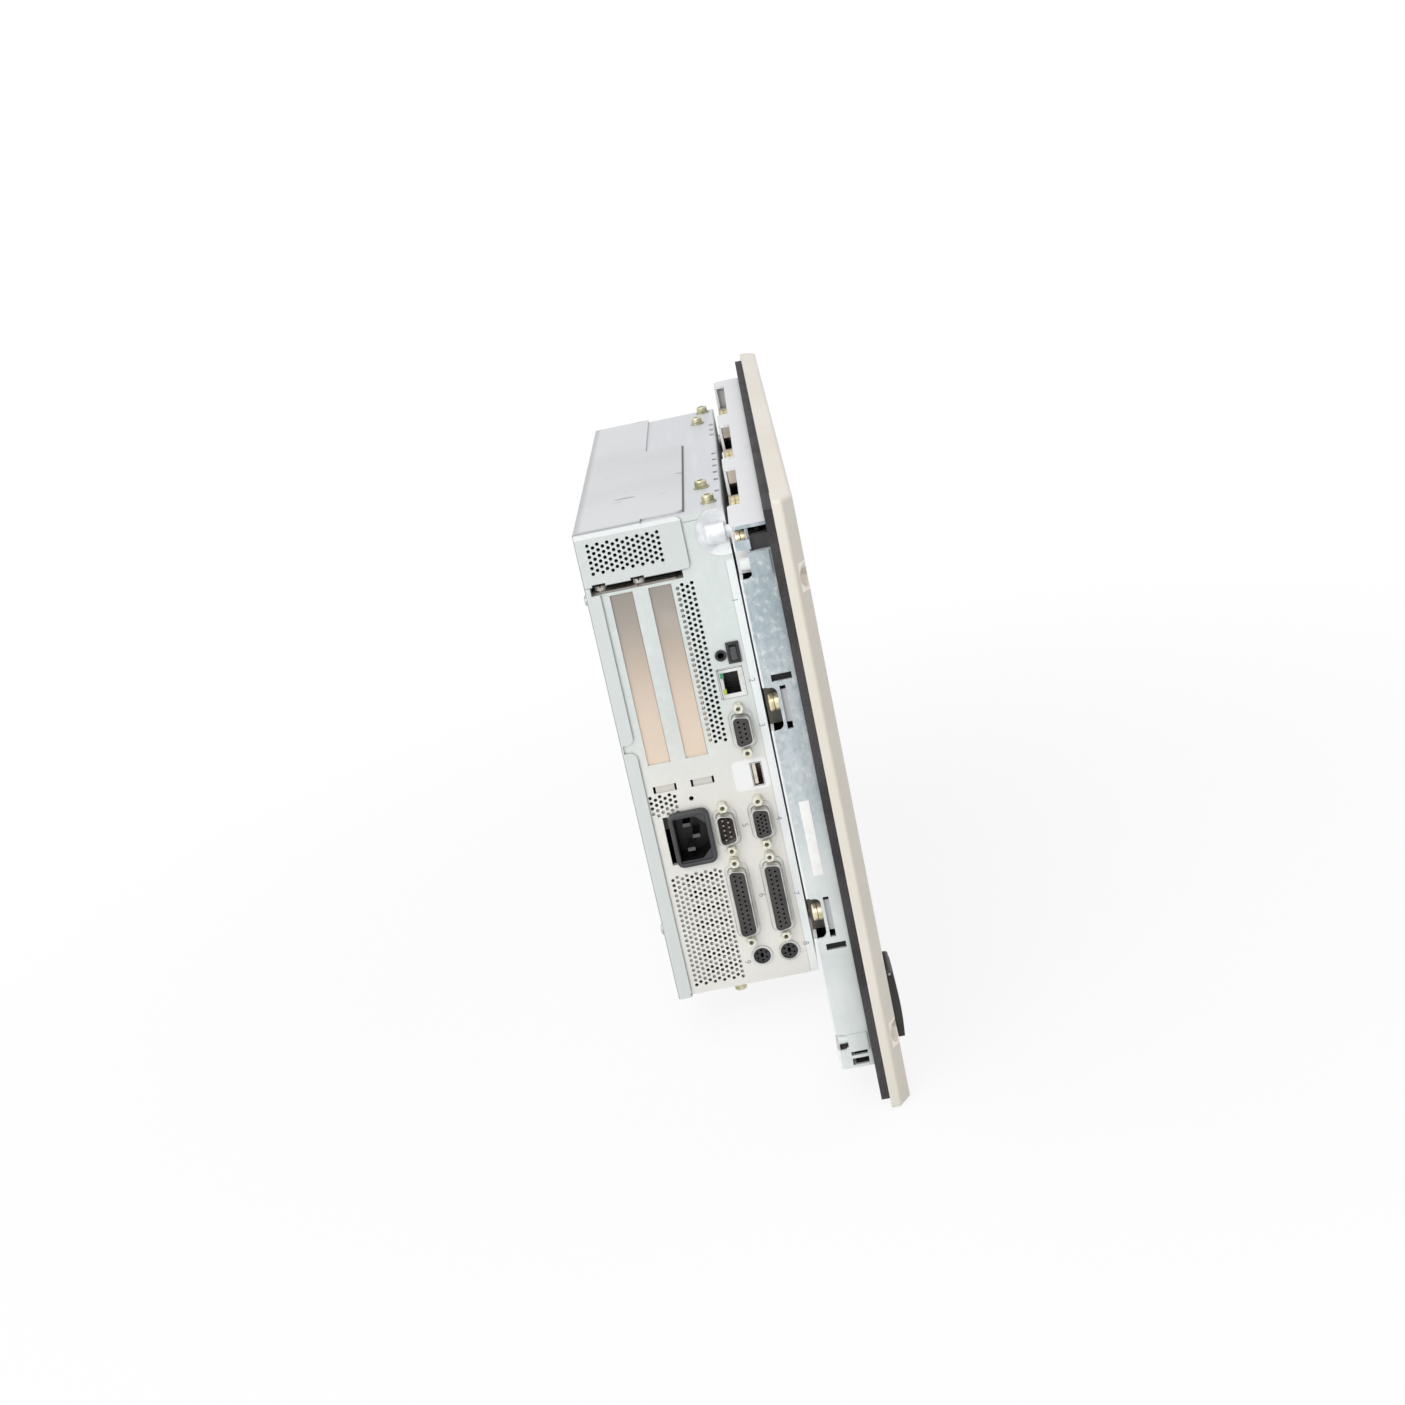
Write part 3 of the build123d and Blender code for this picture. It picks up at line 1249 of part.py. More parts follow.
inlet_y, inlet_z = inlet_place
inlet_front = port_out - inlet_flange_depth
inlet_floor = inlet_front + inlet_mouth_depth
with BuildPart() as power_inlet:
    with BuildSketch(seat("x", inlet_front)):
        port_field(inlet_flange, inlet_place, inlet_corner)
    extrude(amount=inlet_flange_depth)
    with BuildSketch(seat("x", port_out)):
        inlet_outline(inlet_body, inlet_cut)
    extrude(amount=inlet_depth)
    with BuildSketch(seat("x", inlet_front)):
        inlet_outline(inlet_mouth, inlet_cut)
    extrude(amount=inlet_mouth_depth, mode=Mode.SUBTRACT)
keep(power_inlet, "power_inlet")

inlet_pin_width = 4.0
inlet_pin_sheet = 2.0
inlet_pin_length = 13.5
inlet_pin_pitch = 7.0
inlet_pin_rise = 2.0
with BuildPart() as inlet_pins:
    with BuildSketch(seat("x", inlet_floor - inlet_pin_length)):
        with Locations((inlet_y + inlet_pin_rise, inlet_z - inlet_pin_pitch),
                       (inlet_y - inlet_pin_rise, inlet_z),
                       (inlet_y + inlet_pin_rise, inlet_z + inlet_pin_pitch)):
            Rectangle(inlet_pin_width, inlet_pin_sheet)
    extrude(amount=inlet_pin_length)
keep(inlet_pins, "inlet_pins")

# Fans: a housing with a motor plate on struts and a shaft, and a bladed rotor on the shaft
hub_share = 0.42
tip_share = 0.9
root_share = 0.8
sweep_share = 0.24
vane_share = 0.12
strut_share = 0.16
shaft_share = 0.3
shaft_radius_share = 0.08
rotor_back_share = 0.1
fan_struts = 3
fan_blades = 7
rotor_gap = 0.6


def fan_housing(size, depth, bore, centre, front):
    """Square fan housing with a round bore, a motor plate on struts and its shaft."""
    with BuildSketch(seat("x", front)) as ring:
        with Locations(centre):
            Rectangle(size, size)
            Circle(bore, mode=Mode.SUBTRACT)
    extrude(ring.sketch, amount=depth)
    with BuildSketch(seat("x", front)) as struts:
        with Locations(centre):
            Circle(bore * hub_share)
            with PolarLocations(bore / 2, fan_struts):
                Rectangle(bore + 2 * slip, depth * strut_share)
    extrude(struts.sketch, amount=depth * strut_share)
    rod("x", (front, front + depth * (1 - shaft_share)), centre, depth * shaft_radius_share)


def fan_rotor(depth, bore, centre, front):
    """Hub and blades that turn on the housing's shaft."""
    low = front + depth * strut_share + rotor_gap
    high = front + depth * (1 - rotor_back_share)
    root = bore * hub_share * root_share
    sweep = bore * tip_share * sweep_share
    vane = depth * vane_share
    rod("x", (low, high), centre, bore * hub_share)
    for blade in range(fan_blades):
        angle = radians(360 * blade / fan_blades)
        outward = Plane(origin=(0, *centre), x_dir=(1, 0, 0), z_dir=(0, cos(angle), sin(angle)))
        with BuildSketch(outward.offset(root)) as section:
            Polygon((low, -sweep), (low + vane, -sweep), (high, sweep), (high - vane, sweep), align=None)
        extrude(section.sketch, amount=bore * tip_share - root)
    rod("x", (front, front + depth * (1 - shaft_share) + soft_gap), centre,
        depth * shaft_radius_share + running, mode=Mode.SUBTRACT)


fan_bore = 28.5
fan_place = (fan_y, fan_z)
fan_front = far_in - fan_depth
with BuildPart() as case_fan_frame:
    fan_housing(fan_size, fan_depth, fan_bore, fan_place, fan_front)
    with BuildSketch(seat("x", fan_front)):
        with Locations(fan_place):
            with GridLocations(fan_screw_pitch, fan_screw_pitch, 2, 2):
                Circle(fan_screw_radius)
    extrude(amount=fan_depth, mode=Mode.SUBTRACT)
keep(case_fan_frame, "case_fan_frame")

with BuildPart() as case_fan_rotor:
    fan_rotor(fan_depth, fan_bore, fan_place, fan_front)
keep(case_fan_rotor, "case_fan_rotor")

with BuildPart() as supply_fan_frame:
    fan_housing(supply_fan_size, supply_fan_depth, supply_fan_bore, supply_fan_place, case_x[1])
keep(supply_fan_frame, "supply_fan_frame")

with BuildPart() as supply_fan_rotor:
    fan_rotor(supply_fan_depth, supply_fan_bore, supply_fan_place, case_x[1])
keep(supply_fan_rotor, "supply_fan_rotor")

# Disc drive: a hollow case on the floor, with a tray that slides out through the far wall
drive_wall = 0.8
tray_gap = 0.5
tray_back_gap = 1.5
tray_thickness = 8.0
disc_radius = 60.5
disc_recess = 2.0
spindle_hole = 18.0
tray_front_margin = 0.4
drive_back = far_in - drive_length
drive_span_z = limits(drive_z, drive_width)
drive_in_y = inset(drive_span_y, drive_wall)
drive_in_z = inset(drive_span_z, drive_wall)
with BuildPart() as disc_drive:
    block((drive_back, far_in), drive_span_y, drive_span_z)
    block((drive_back + drive_wall, far_in), drive_in_y, drive_in_z, mode=Mode.SUBTRACT)
keep(disc_drive, "disc_drive")

tray_y = (drive_in_y[0] + tray_gap, drive_in_y[0] + tray_gap + tray_thickness)
tray_back = drive_back + drive_wall + tray_back_gap
tray_head = far_in + slip
tray_face = far_out + drive_front_depth
tray_front_y = inset(drive_span_y, tray_front_margin)
disc_x = (tray_back + tray_head) / 2
button_radius = 2.4
button_z = drive_z - 46.0
button_travel = 1.0
button_depth = 2.6
button_place = (sum(tray_front_y) / 2, button_z)
with BuildPart() as disc_tray:
    block((tray_back, tray_head), tray_y, inset(drive_in_z, tray_gap))
    block((tray_head, tray_face), tray_front_y, inset(drive_span_z, tray_front_margin))
    rod("y", (tray_y[1] - disc_recess, tray_y[1]), (disc_x, drive_z), disc_radius, mode=Mode.SUBTRACT)
    rod("y", tray_y, (disc_x, drive_z), spindle_hole, mode=Mode.SUBTRACT)
    rod("x", (tray_face - button_depth, tray_face), button_place, button_radius + soft_gap,
        mode=Mode.SUBTRACT)
keep(disc_tray, "disc_tray")

with BuildPart() as eject_button:
    rod("x", (tray_face - button_depth + button_travel + soft_gap, tray_face + button_travel),
        button_place, button_radius)
keep(eject_button, "eject_button")

# Hard disk on a bridge over the disc drive
bridge_gap = 1.0
bridge_x = (62.0, 172.0)
disk_length = 147.0
disk_width = 101.6
disk_height = 25.1
disk_lid = 1.0
disk_lid_inset = 4.0
bridge_y = (drive_span_y[1] + bridge_gap, drive_span_y[1] + bridge_gap + sheet)
bridge_in_z = inset(drive_span_z, -bridge_gap)
bridge_span_z = inset(bridge_in_z, -sheet)
with BuildPart() as disk_bridge:
    block(bridge_x, (floor_in, bridge_y[1]), bridge_span_z)
    block(bridge_x, (floor_in, bridge_y[0]), bridge_in_z, mode=Mode.SUBTRACT)
keep(disk_bridge, "disk_bridge")

disk_x = (bridge_x[1] - disk_length, bridge_x[1])
disk_z = limits(drive_z, disk_width)
disk_back = bridge_y[1] + disk_height
with BuildPart() as hard_disk:
    block(disk_x, (bridge_y[1], disk_back), disk_z)
    block(inset(disk_x, disk_lid_inset), (disk_back, disk_back + disk_lid), inset(disk_z, disk_lid_inset))
keep(hard_disk, "hard_disk")
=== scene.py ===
import bpy
from math import pi, radians
from mathutils import Matrix, Quaternion, Vector


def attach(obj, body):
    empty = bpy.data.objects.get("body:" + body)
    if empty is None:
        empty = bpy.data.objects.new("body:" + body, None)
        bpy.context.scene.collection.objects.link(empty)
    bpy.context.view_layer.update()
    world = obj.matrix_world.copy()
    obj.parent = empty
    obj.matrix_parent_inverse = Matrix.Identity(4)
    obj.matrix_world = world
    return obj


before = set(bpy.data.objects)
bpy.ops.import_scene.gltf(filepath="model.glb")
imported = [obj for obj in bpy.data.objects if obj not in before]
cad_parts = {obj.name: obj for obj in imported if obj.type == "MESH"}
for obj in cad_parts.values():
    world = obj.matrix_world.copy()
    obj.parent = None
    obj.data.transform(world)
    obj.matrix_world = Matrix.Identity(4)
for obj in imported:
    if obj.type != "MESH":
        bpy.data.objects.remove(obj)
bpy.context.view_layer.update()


# Camera, lamps and floor. The camera looks at the unit's port side from behind the front panel,
# rolled a little. The lamps stand behind the front panel and above it, so that the panel's bevels
# lie in their own shade, and the floor and the surroundings show plain white.
class Wire:
    """One output of a node, so that shader maths reads as arithmetic."""

    def __init__(self, wiring, socket):
        self.wiring = wiring
        self.socket = socket

    def maths(self, operation, *values):
        return self.wiring.node("ShaderNodeMath", {"operation": operation}, dict(enumerate(values)))

    def __add__(self, other):
        return self.maths("ADD", self, other)

    __radd__ = __add__

    def __sub__(self, other):
        return self.maths("SUBTRACT", self, other)

    def __rsub__(self, other):
        return self.maths("SUBTRACT", other, self)

    def __mul__(self, other):
        return self.maths("MULTIPLY", self, other)

    __rmul__ = __mul__

    def __abs__(self):
        return self.maths("ABSOLUTE", self)

    def at_least(self, floor):
        """The value itself, or the floor where that is larger."""
        return self.maths("MAXIMUM", self, floor)

    def over(self, low, high):
        """Smooth step from 0 below low to 1 above high."""
        return self.wiring.node("ShaderNodeMapRange", {"interpolation_type": "SMOOTHSTEP"},
                                {"Value": self, "From Min": low, "From Max": high})

    def within(self, low, high, soft):
        """1 between two limits and 0 outside, with a soft edge."""
        return self.over(low - soft, low) * (1 - self.over(high, high + soft))


class Wiring:
    """The nodes of one material or of the surroundings."""

    def __init__(self, tree):
        self.tree = tree

    def node(self, kind, settings=None, inputs=None, output=0):
        """Adds a node with its settings and inputs, and returns one of its outputs."""
        made = self.tree.nodes.new(kind)
        for name, value in (settings or {}).items():
            setattr(made, name, value)
        for name, value in (inputs or {}).items():
            if isinstance(value, Wire):
                self.tree.links.new(value.socket, made.inputs[name])
            else:
                made.inputs[name].default_value = value
        return Wire(self, made.outputs[output])

    def backdrop(self, share, shown, hidden):
        """Shows one shader to camera, gloss and glass, and another to diffuse light."""
        seen = sum((self.node("ShaderNodeLightPath", output=ray)
                    for ray in ("Is Glossy Ray", "Is Transmission Ray")),
                   self.node("ShaderNodeLightPath", output="Is Camera Ray"))
        both = self.node("ShaderNodeMixShader", inputs={0: seen * share, 1: hidden, 2: shown})
        end = next(node for node in self.tree.nodes if node.type.startswith("OUTPUT"))
        self.tree.links.new(both.socket, end.inputs["Surface"])


camera_place = Vector((-1.1264, 0.0019, 0.3458))
camera_aim = Vector((-0.1254, 0.0551, 0.0333))
camera_roll = radians(12.27)
bpy.ops.object.camera_add(location=camera_place)
camera = bpy.context.object
turn = (camera_aim - camera_place).to_track_quat("-Z", "Y") @ Quaternion((0, 0, 1), -camera_roll)
camera.rotation_euler = turn.to_euler()
camera.data.sensor_width = 36
camera.data.lens = 51.58
camera.data.clip_start = 0.01
bpy.context.scene.camera = camera

for name, place, size, power, colour in (
        ("key_lamp", (-1.5, 0.75, 1.05), 1.2, 16.0, (1.0, 0.985, 0.96)),
        ("side_lamp", (-1.3, 1.3, 0.1), 1.2, 6.0, (0.95, 0.98, 1.0)),
        ("top_lamp", (0.1, 0.5, 1.9), 1.5, 9.0, (1.0, 1.0, 1.0)),
        ("front_lamp", (0.9, -1.6, 0.7), 1.4, 6.0, (1.0, 0.99, 0.97))):
    bpy.ops.object.light_add(type="AREA", location=place)
    lamp = bpy.context.object
    lamp.name = name
    lamp.data.size = size
    lamp.data.energy = power
    lamp.data.color = colour
    lamp.rotation_euler = (-Vector(place)).to_track_quat("-Z", "Y").to_euler()

studio = bpy.data.worlds.new("studio")
studio.use_nodes = True
bpy.context.scene.world = studio
sky = Wiring(studio.node_tree)
white = (1, 1, 1, 1)
daylight = (0.96, 0.98, 1.0, 1)
sky.backdrop(1.0, sky.node("ShaderNodeBackground", inputs={"Color": white, "Strength": 1.0}),
             sky.node("ShaderNodeBackground", inputs={"Color": daylight, "Strength": 0.6}))

floor_height = -0.1562
bpy.ops.mesh.primitive_plane_add(size=8, location=(0, 0, floor_height))
floor = bpy.context.object
floor.name = "floor"
paving = bpy.data.materials.new("floor_white")
paving.use_nodes = True
ground = Wiring(paving.node_tree)
place = ground.node("ShaderNodeTexCoord", output="Object")
reach = ground.node("ShaderNodeVectorMath", {"operation": "LENGTH"}, {0: place}, "Value")
paving_colour = (0.82, 0.82, 0.82, 1)
ground.backdrop(0.86 + 0.14 * reach.over(0.25, 0.75),
                ground.node("ShaderNodeEmission", inputs={"Color": white}),
                ground.node("ShaderNodeBsdfDiffuse", inputs={"Color": paving_colour}))
floor.data.materials.append(paving)
bpy.context.scene.view_settings.view_transform = "Standard"


# Front panel: an aluminium plate with a cream powder coat, faintly pebbled and rubbed grey in
# streaks, with painted shade in its corners and under its edges and a painted highlight in the
# recesses at its ends. Everything else hangs on it.
def tone(red, green, blue):
    """Linear colour of a screen colour given in steps from 0 to 255."""
    return tuple(step / 255 / 12.92 if step < 11 else ((step / 255 + 0.055) / 1.055) ** 2.4
                 for step in (red, green, blue))


class Finish(Wiring):
    """A material under construction, with its patterns in the part's own coordinates."""

    def __init__(self, name, colour, roughness, metallic=0.0, **fixed):
        self.material = bpy.data.materials.new(name)
        self.material.use_nodes = True
        super().__init__(self.material.node_tree)
        self.shader = self.tree.nodes["Principled BSDF"]
        self.shader.inputs["Base Color"].default_value = (*colour, 1)
        self.shader.inputs["Roughness"].default_value = roughness
        self.shader.inputs["Metallic"].default_value = metallic
        for socket, value in fixed.items():
            self.shader.inputs[socket.replace("_", " ")].default_value = value
        self.place = self.node("ShaderNodeTexCoord", output="Object")
        self.x, self.y, self.z = (self.node("ShaderNodeSeparateXYZ", inputs={"Vector": self.place},
                                            output=axis) for axis in "XYZ")

    def noise(self, scale, detail=3.0, stretch=(1, 1, 1), roughness=0.5):
        """Cloudy pattern around 0.5, stretched along the axes with a small factor."""
        at = self.node("ShaderNodeMapping", inputs={"Vector": self.place, "Scale": stretch})
        return self.node("ShaderNodeTexNoise", inputs={
            "Vector": at, "Scale": scale, "Detail": detail, "Roughness": roughness})

    def cells(self, scale, stretch=(1, 1, 1)):
        """Cell pattern: the distance to a cell's centre."""
        at = self.node("ShaderNodeMapping", inputs={"Vector": self.place, "Scale": stretch})
        return self.node("ShaderNodeTexVoronoi", inputs={"Vector": at, "Scale": scale},
                         output="Distance")

    def mix(self, share, first, second):
        """Colour between two, each a wire or a linear colour."""
        first, second = (value if isinstance(value, Wire) else (*value, 1)
                         for value in (first, second))
        return self.node("ShaderNodeMix", {"data_type": "RGBA"}, {0: share, 6: first, 7: second}, 2)

    def clouds(self, scale, detail, first, second, low=0.35, high=0.7):
        """Two colours that change into each other in clouds."""
        return self.mix(self.noise(scale, detail).over(low, high), first, second)

    def crevice(self, reach):
        """Painted shade: 1 in corners and under edges, 0 on open faces."""
        open_share = self.node("ShaderNodeAmbientOcclusion", {"samples": 6}, {"Distance": reach},
                               "AO")
        return 1 - open_share.over(0.25, 0.8)

    def wire(self, **inputs):
        """Connects patterns to the shader."""
        for name, value in inputs.items():
            self.tree.links.new(value.socket, self.shader.inputs[name.replace("_", " ")])

    def bump(self, height, depth, strength=1.0):
        """Relief of the given depth in metres."""
        self.wire(Normal=self.node("ShaderNodeBump", inputs={"Height": height, "Distance": depth,
                                                             "Strength": strength}))


def dress(finish, *nodes):
    """Puts a finish on the frame's own pieces."""
    for name in nodes:
        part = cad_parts[name]
        if not part.material_slots:
            part.data.materials.append(None)
        for place in part.material_slots:
            place.material = finish.material


crisp_edge = 0.0001
soft_edge = 0.0002
recess_ends = 0.2262, 0.2266
recess_mouth = 0.2385, 0.2395
recess_height = 0.11745
recess_reach = 0.0068
bezel_back = -0.0004, -0.0001
gasket_hole = 0.2222, 0.2226

cream = Finish("cream_coat", tone(221, 214, 203), 0.46)
cloud = cream.noise(9, 4)
pebble = cream.noise(700, 2)
rub = cream.noise(60, 5, (1, 1, 0.25)).over(0.62, 0.76)
shade = cream.mix(cloud.over(0.3, 0.75), tone(223, 216, 206), tone(217, 209, 197))
shade = cream.mix(rub * 0.3, shade, tone(190, 184, 176))
# Painted highlight: the recesses at the front's ends are painted a lighter cream.
end_recess_highlight = abs(cream.x).over(*recess_ends) * (1 - abs(cream.x).over(*recess_mouth))
end_recess_highlight = end_recess_highlight * abs(abs(cream.z) - recess_height).within(-1, recess_reach, soft_edge)
shade = cream.mix(end_recess_highlight, shade, tone(250, 243, 232))
back = cream.y.over(*bezel_back) * (1 - abs(cream.x).over(*gasket_hole))
shade = cream.mix(back, shade, tone(60, 60, 60))
cream.wire(Base_Color=cream.mix(cream.crevice(0.0015) * 0.2, shade, tone(150, 142, 132)),
           Roughness=0.4 + 0.16 * cloud + 0.05 * pebble)
cream.bump(pebble, 0.00006, 0.6)
dress(cream, "front_bezel")

# Film over the front's face: a matt grey print with a fine grain. Behind its window stand the
# anti-glare glass, a little smeared, and the display in its thin metal can.
film = Finish("front_film", tone(96, 100, 105), 0.5)
grain = film.noise(1500, 2)
film.wire(Base_Color=film.clouds(12, 3, tone(98, 102, 107), tone(88, 92, 98), 0.3, 0.7),
          Roughness=0.42 + 0.2 * grain)
film.bump(grain, 0.00003)
dress(film, "front_film")
glass = Finish("touch_glass", tone(226, 234, 234), 0.08, Alpha=0.22, Specular_IOR_Level=0.7)
glass.wire(Roughness=0.05 + 0.12 * glass.noise(14, 4, (1, 1, 2.5)).over(0.45, 0.8))
dress(glass, "touch_glass")
screen = Finish("lcd_screen", tone(28, 31, 36), 0.3)
screen.wire(Base_Color=screen.clouds(5, 2, tone(28, 31, 37), tone(36, 39, 43), 0.3, 0.7),
            Roughness=0.22 + 0.2 * screen.cells(3300, (1, 0.01, 1)))
dress(screen, "lcd_screen")
# Tinned sheet, with painted shade darkening it in corners and under edges.
tin = Finish("tin_plate", tone(214, 214, 210), 0.28, 0.8)
shade = tin.clouds(150, 4, tone(220, 220, 217), tone(182, 182, 178))
tin.wire(Base_Color=tin.mix(tin.crevice(0.0015) * 0.5, shade, tone(110, 108, 104)),
         Roughness=0.22 + 0.2 * tin.noise(400, 3))
tin.bump(tin.noise(500, 3), 0.00002, 0.5)
dress(tin, "lcd_module")

# Gasket between the front and the cabinet wall: a dark strip of closed-cell foam with small open
# pores and slightly uneven cut edges.
foam = Finish("gasket_foam", tone(50, 48, 50), 0.85)
pores = foam.cells(900)
foam.wire(Base_Color=foam.clouds(40, 4, tone(66, 64, 65), tone(48, 46, 47)),
          Roughness=0.75 + 0.2 * pores)
foam.bump(pores + 0.8 * foam.noise(180, 3), 0.0004, 0.8)
dress(foam, "panel_gasket")

# Service socket's flap low on the front: its base and the flap are soft black elastomer with a
# greenish grey bloom, and the flap turns on a drawn steel pin.
rubber = Finish("flap_elastomer", tone(44, 45, 41), 0.5)
grain = rubber.noise(900, 2)
bloom = rubber.noise(70, 4, (1, 1, 0.3)).over(0.4, 0.75)
rubber.wire(Base_Color=rubber.mix(bloom, tone(44, 45, 42), tone(72, 72, 67)),
            Roughness=0.42 + 0.2 * grain)
rubber.bump(grain, 0.00004)
dress(rubber, "flap_base", "front_flap")
drawn = Finish("drawn_wire", tone(150, 150, 150), 0.3, 1.0)
drawn.wire(Roughness=0.25 + 0.2 * drawn.noise(400, 2, (1, 8, 8)))
dress(drawn, "flap_pin")

# Operator frame behind the front: an open tray of galvanised sheet, blue grey with fine clouds in
# the upper half and paler below. Painted shade lies inside the tray, in its pockets and in its
# corners, and a painted highlight runs along its rear rims. Round flanged nuts, zinc plated
# yellow, hold it on pressed-in studs, with painted shade on their top row. It carries white
# moulded spacers, a bare label and dark sheets behind its side slots, put there as painted shade.
def settle(piece, name, finish):
    """Names a finished piece, gives it its finish and lets it ride on the housing."""
    piece.name = name
    bpy.ops.object.select_all(action="DESELECT")
    piece.select_set(True)
    bpy.context.view_layer.objects.active = piece
    bpy.ops.object.transform_apply(location=True, rotation=True, scale=True)
    piece.data.materials.clear()
    piece.data.materials.append(finish.material)
    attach(piece, "housing")


def port_ring(name, centre, size, corner, width, rise, round_off, finish):
    """Rounded ring, or a plate where width is 0, across X and standing out towards the ports."""
    bpy.ops.object.select_all(action="DESELECT")
    bpy.ops.mesh.primitive_plane_add(size=1, location=centre, rotation=(0, -pi / 2, 0))
    ring = bpy.context.object
    ring.scale = (size[1], size[0], 1)
    bpy.ops.object.transform_apply(location=True, rotation=True, scale=True)
    bpy.ops.object.mode_set(mode="EDIT")
    bpy.ops.mesh.select_all(action="SELECT")
    bpy.ops.mesh.bevel(offset=corner, segments=7, affect="VERTICES")
    bpy.ops.mesh.select_all(action="SELECT")
    if width:
        bpy.ops.mesh.inset(thickness=width)
        bpy.ops.mesh.delete(type="FACE")
    bpy.ops.mesh.select_all(action="SELECT")
    bpy.ops.mesh.extrude_region_move(TRANSFORM_OT_translate={"value": (-rise, 0, 0)})
    bpy.ops.mesh.select_all(action="SELECT")
    bpy.ops.mesh.normals_make_consistent(inside=False)
    bpy.ops.object.mode_set(mode="OBJECT")
    edge = ring.modifiers.new("edge", "BEVEL")
    edge.width = round_off
    edge.segments = 3
    edge.limit_method = "ANGLE"
    edge.angle_limit = radians(60)
    bpy.ops.object.modifier_apply(modifier=edge.name)
    bpy.ops.object.shade_smooth_by_angle(angle=radians(50))
    settle(ring, name, finish)


wall_face = 0.2205, 0.2212
wall_inside = 0.2203, 0.2205
wall_edge = 0.2203, 0.2204
top_inside = 0.1424, 0.1427
rear_edge = 0.0196, 0.0204
front_part = 0.0128, 0.0131
pocket_front = 0.0144, 0.0146
top_pocket_floor = 0.1265, 0.1287
top_pocket_ends = 0.2015, 0.2020
side_pocket_floor = 0.2070, 0.2093
side_pocket_ends = 0.1000, 0.1005
gusset_heights = (0.0449, 0.0613), (-0.0647, -0.0487), (0.1120, 0.1300)
height_fade = -0.045, 0.03

zinc = Finish("galvanised_sheet", tone(214, 220, 222), 0.42, 0.3)
fleck = zinc.noise(260, 6, roughness=0.65)
cloud = zinc.noise(48, 5, (1, 1, 0.6), 0.6)
flake = zinc.cells(420, (1, 1, 0.7))
height = zinc.z.over(*height_fade)
pale = zinc.mix(cloud.over(0.35, 0.7), tone(226, 231, 229), tone(212, 218, 217))
blue = zinc.mix(cloud.over(0.35, 0.65), tone(166, 181, 188), tone(200, 208, 212))
blue = zinc.mix(fleck.over(0.5, 0.66) * 0.7, blue, tone(224, 228, 228))
blue = zinc.mix(flake.over(0.4, 0.9) * 0.4, blue, tone(146, 158, 168))
side_wall = abs(zinc.x).over(*wall_face)
shade = zinc.mix(side_wall, tone(226, 226, 228), zinc.mix(height, pale, blue))
mark = zinc.noise(90, 5, (1, 1, 0.3)).over(0.66, 0.74)
in_pocket = zinc.y.over(*pocket_front)
# Painted shade on the floors of the top pockets: streaked grey brown for the shade and the warm
# light reflected in them.
pocket_floor_shade = in_pocket * zinc.z.within(*top_pocket_floor, crisp_edge)
pocket_floor_shade = pocket_floor_shade * (1 - abs(zinc.x).over(*top_pocket_ends))
streak = zinc.noise(45, 2, (0.3, 1, 0.05)).over(0.3, 0.7)
shade = zinc.mix(pocket_floor_shade, shade, zinc.mix(streak, tone(158, 144, 128), tone(214, 200, 184)))
# Painted highlight along the rear rims of the side walls.
rear_rim_highlight = zinc.y.over(*rear_edge) * abs(zinc.x).over(*wall_edge)
shade = zinc.mix(rear_rim_highlight * 0.8, shade, tone(246, 248, 248))
# Painted shadow on the side pockets' faces below the nuts, dark olive.
side_pocket_shadow = in_pocket * abs(zinc.x).within(*side_pocket_floor, crisp_edge)
side_pocket_shadow = side_pocket_shadow * (1 - abs(zinc.z).over(*side_pocket_ends))
shade = zinc.mix(side_pocket_shadow * 0.95, shade, tone(58, 56, 44))
# Painted shade: the tray's inner faces, all but the gussets, painted nearly black.
inside = (1 - abs(zinc.x).over(*wall_inside)) * (1 - abs(zinc.z).over(*top_inside))
inside = inside * (1 - zinc.y.over(*front_part))
for low, high in gusset_heights:
    inside = inside * (1 - zinc.z.within(low, high, soft_edge))
shade = zinc.mix(inside * 0.95, shade, tone(36, 36, 38))
shade = zinc.mix(mark * 0.35, shade, tone(150, 158, 162))
# Painted shade darkens the sheet in corners and under edges.
zinc.wire(Base_Color=zinc.mix(zinc.crevice(0.003) * 0.55, shade, tone(110, 112, 114)),
          Roughness=0.34 + 0.2 * cloud, Metallic=0.25 + 0.2 * fleck)
zinc.bump(fleck + 0.4 * cloud, 0.00004, 0.5)
dress(zinc, "rear_frame", "display_carrier")
top_row = 0.126, 0.128
top_row_ends = 0.195, 0.2
shelf_rear = 0.023, 0.025
nut_tones = tone(196, 188, 142), tone(234, 222, 192), tone(236, 212, 198)
screw_tones = tone(158, 164, 122), tone(212, 207, 178), tone(216, 200, 192)
for name, (green, straw, blush), node in (("nut_zinc", nut_tones, "frame_nuts"),
                                          ("screw_zinc", screw_tones, "yellow_screws")):
    yellow = Finish(name, straw, 0.28, 0.7)
    shift = yellow.noise(260, 3)
    hue = yellow.mix(shift.over(0.35, 0.5), green, straw)
    hue = yellow.mix(shift.over(0.52, 0.66), hue, blush)
    # Painted shade: the top row darker olive, strongly on the nuts in the frame's pockets and
    # faintly on the screws behind the frame, and every nut and screw darker in its corners.
    top_row_shade = yellow.z.over(*top_row) * (1 - abs(yellow.x).over(*top_row_ends))
    behind_frame = yellow.y.over(*shelf_rear)
    hue = yellow.mix(top_row_shade * (0.65 - 0.55 * behind_frame), hue, tone(136, 132, 86))
    yellow.wire(Base_Color=yellow.mix(yellow.crevice(0.002) * 0.8, hue, tone(76, 70, 44)),
                Roughness=0.22 + 0.25 * yellow.noise(500, 2))
    dress(yellow, node)
dress(drawn, "frame_studs")
nylon = Finish("white_nylon", tone(232, 234, 232), 0.35, Subsurface_Weight=0.1)
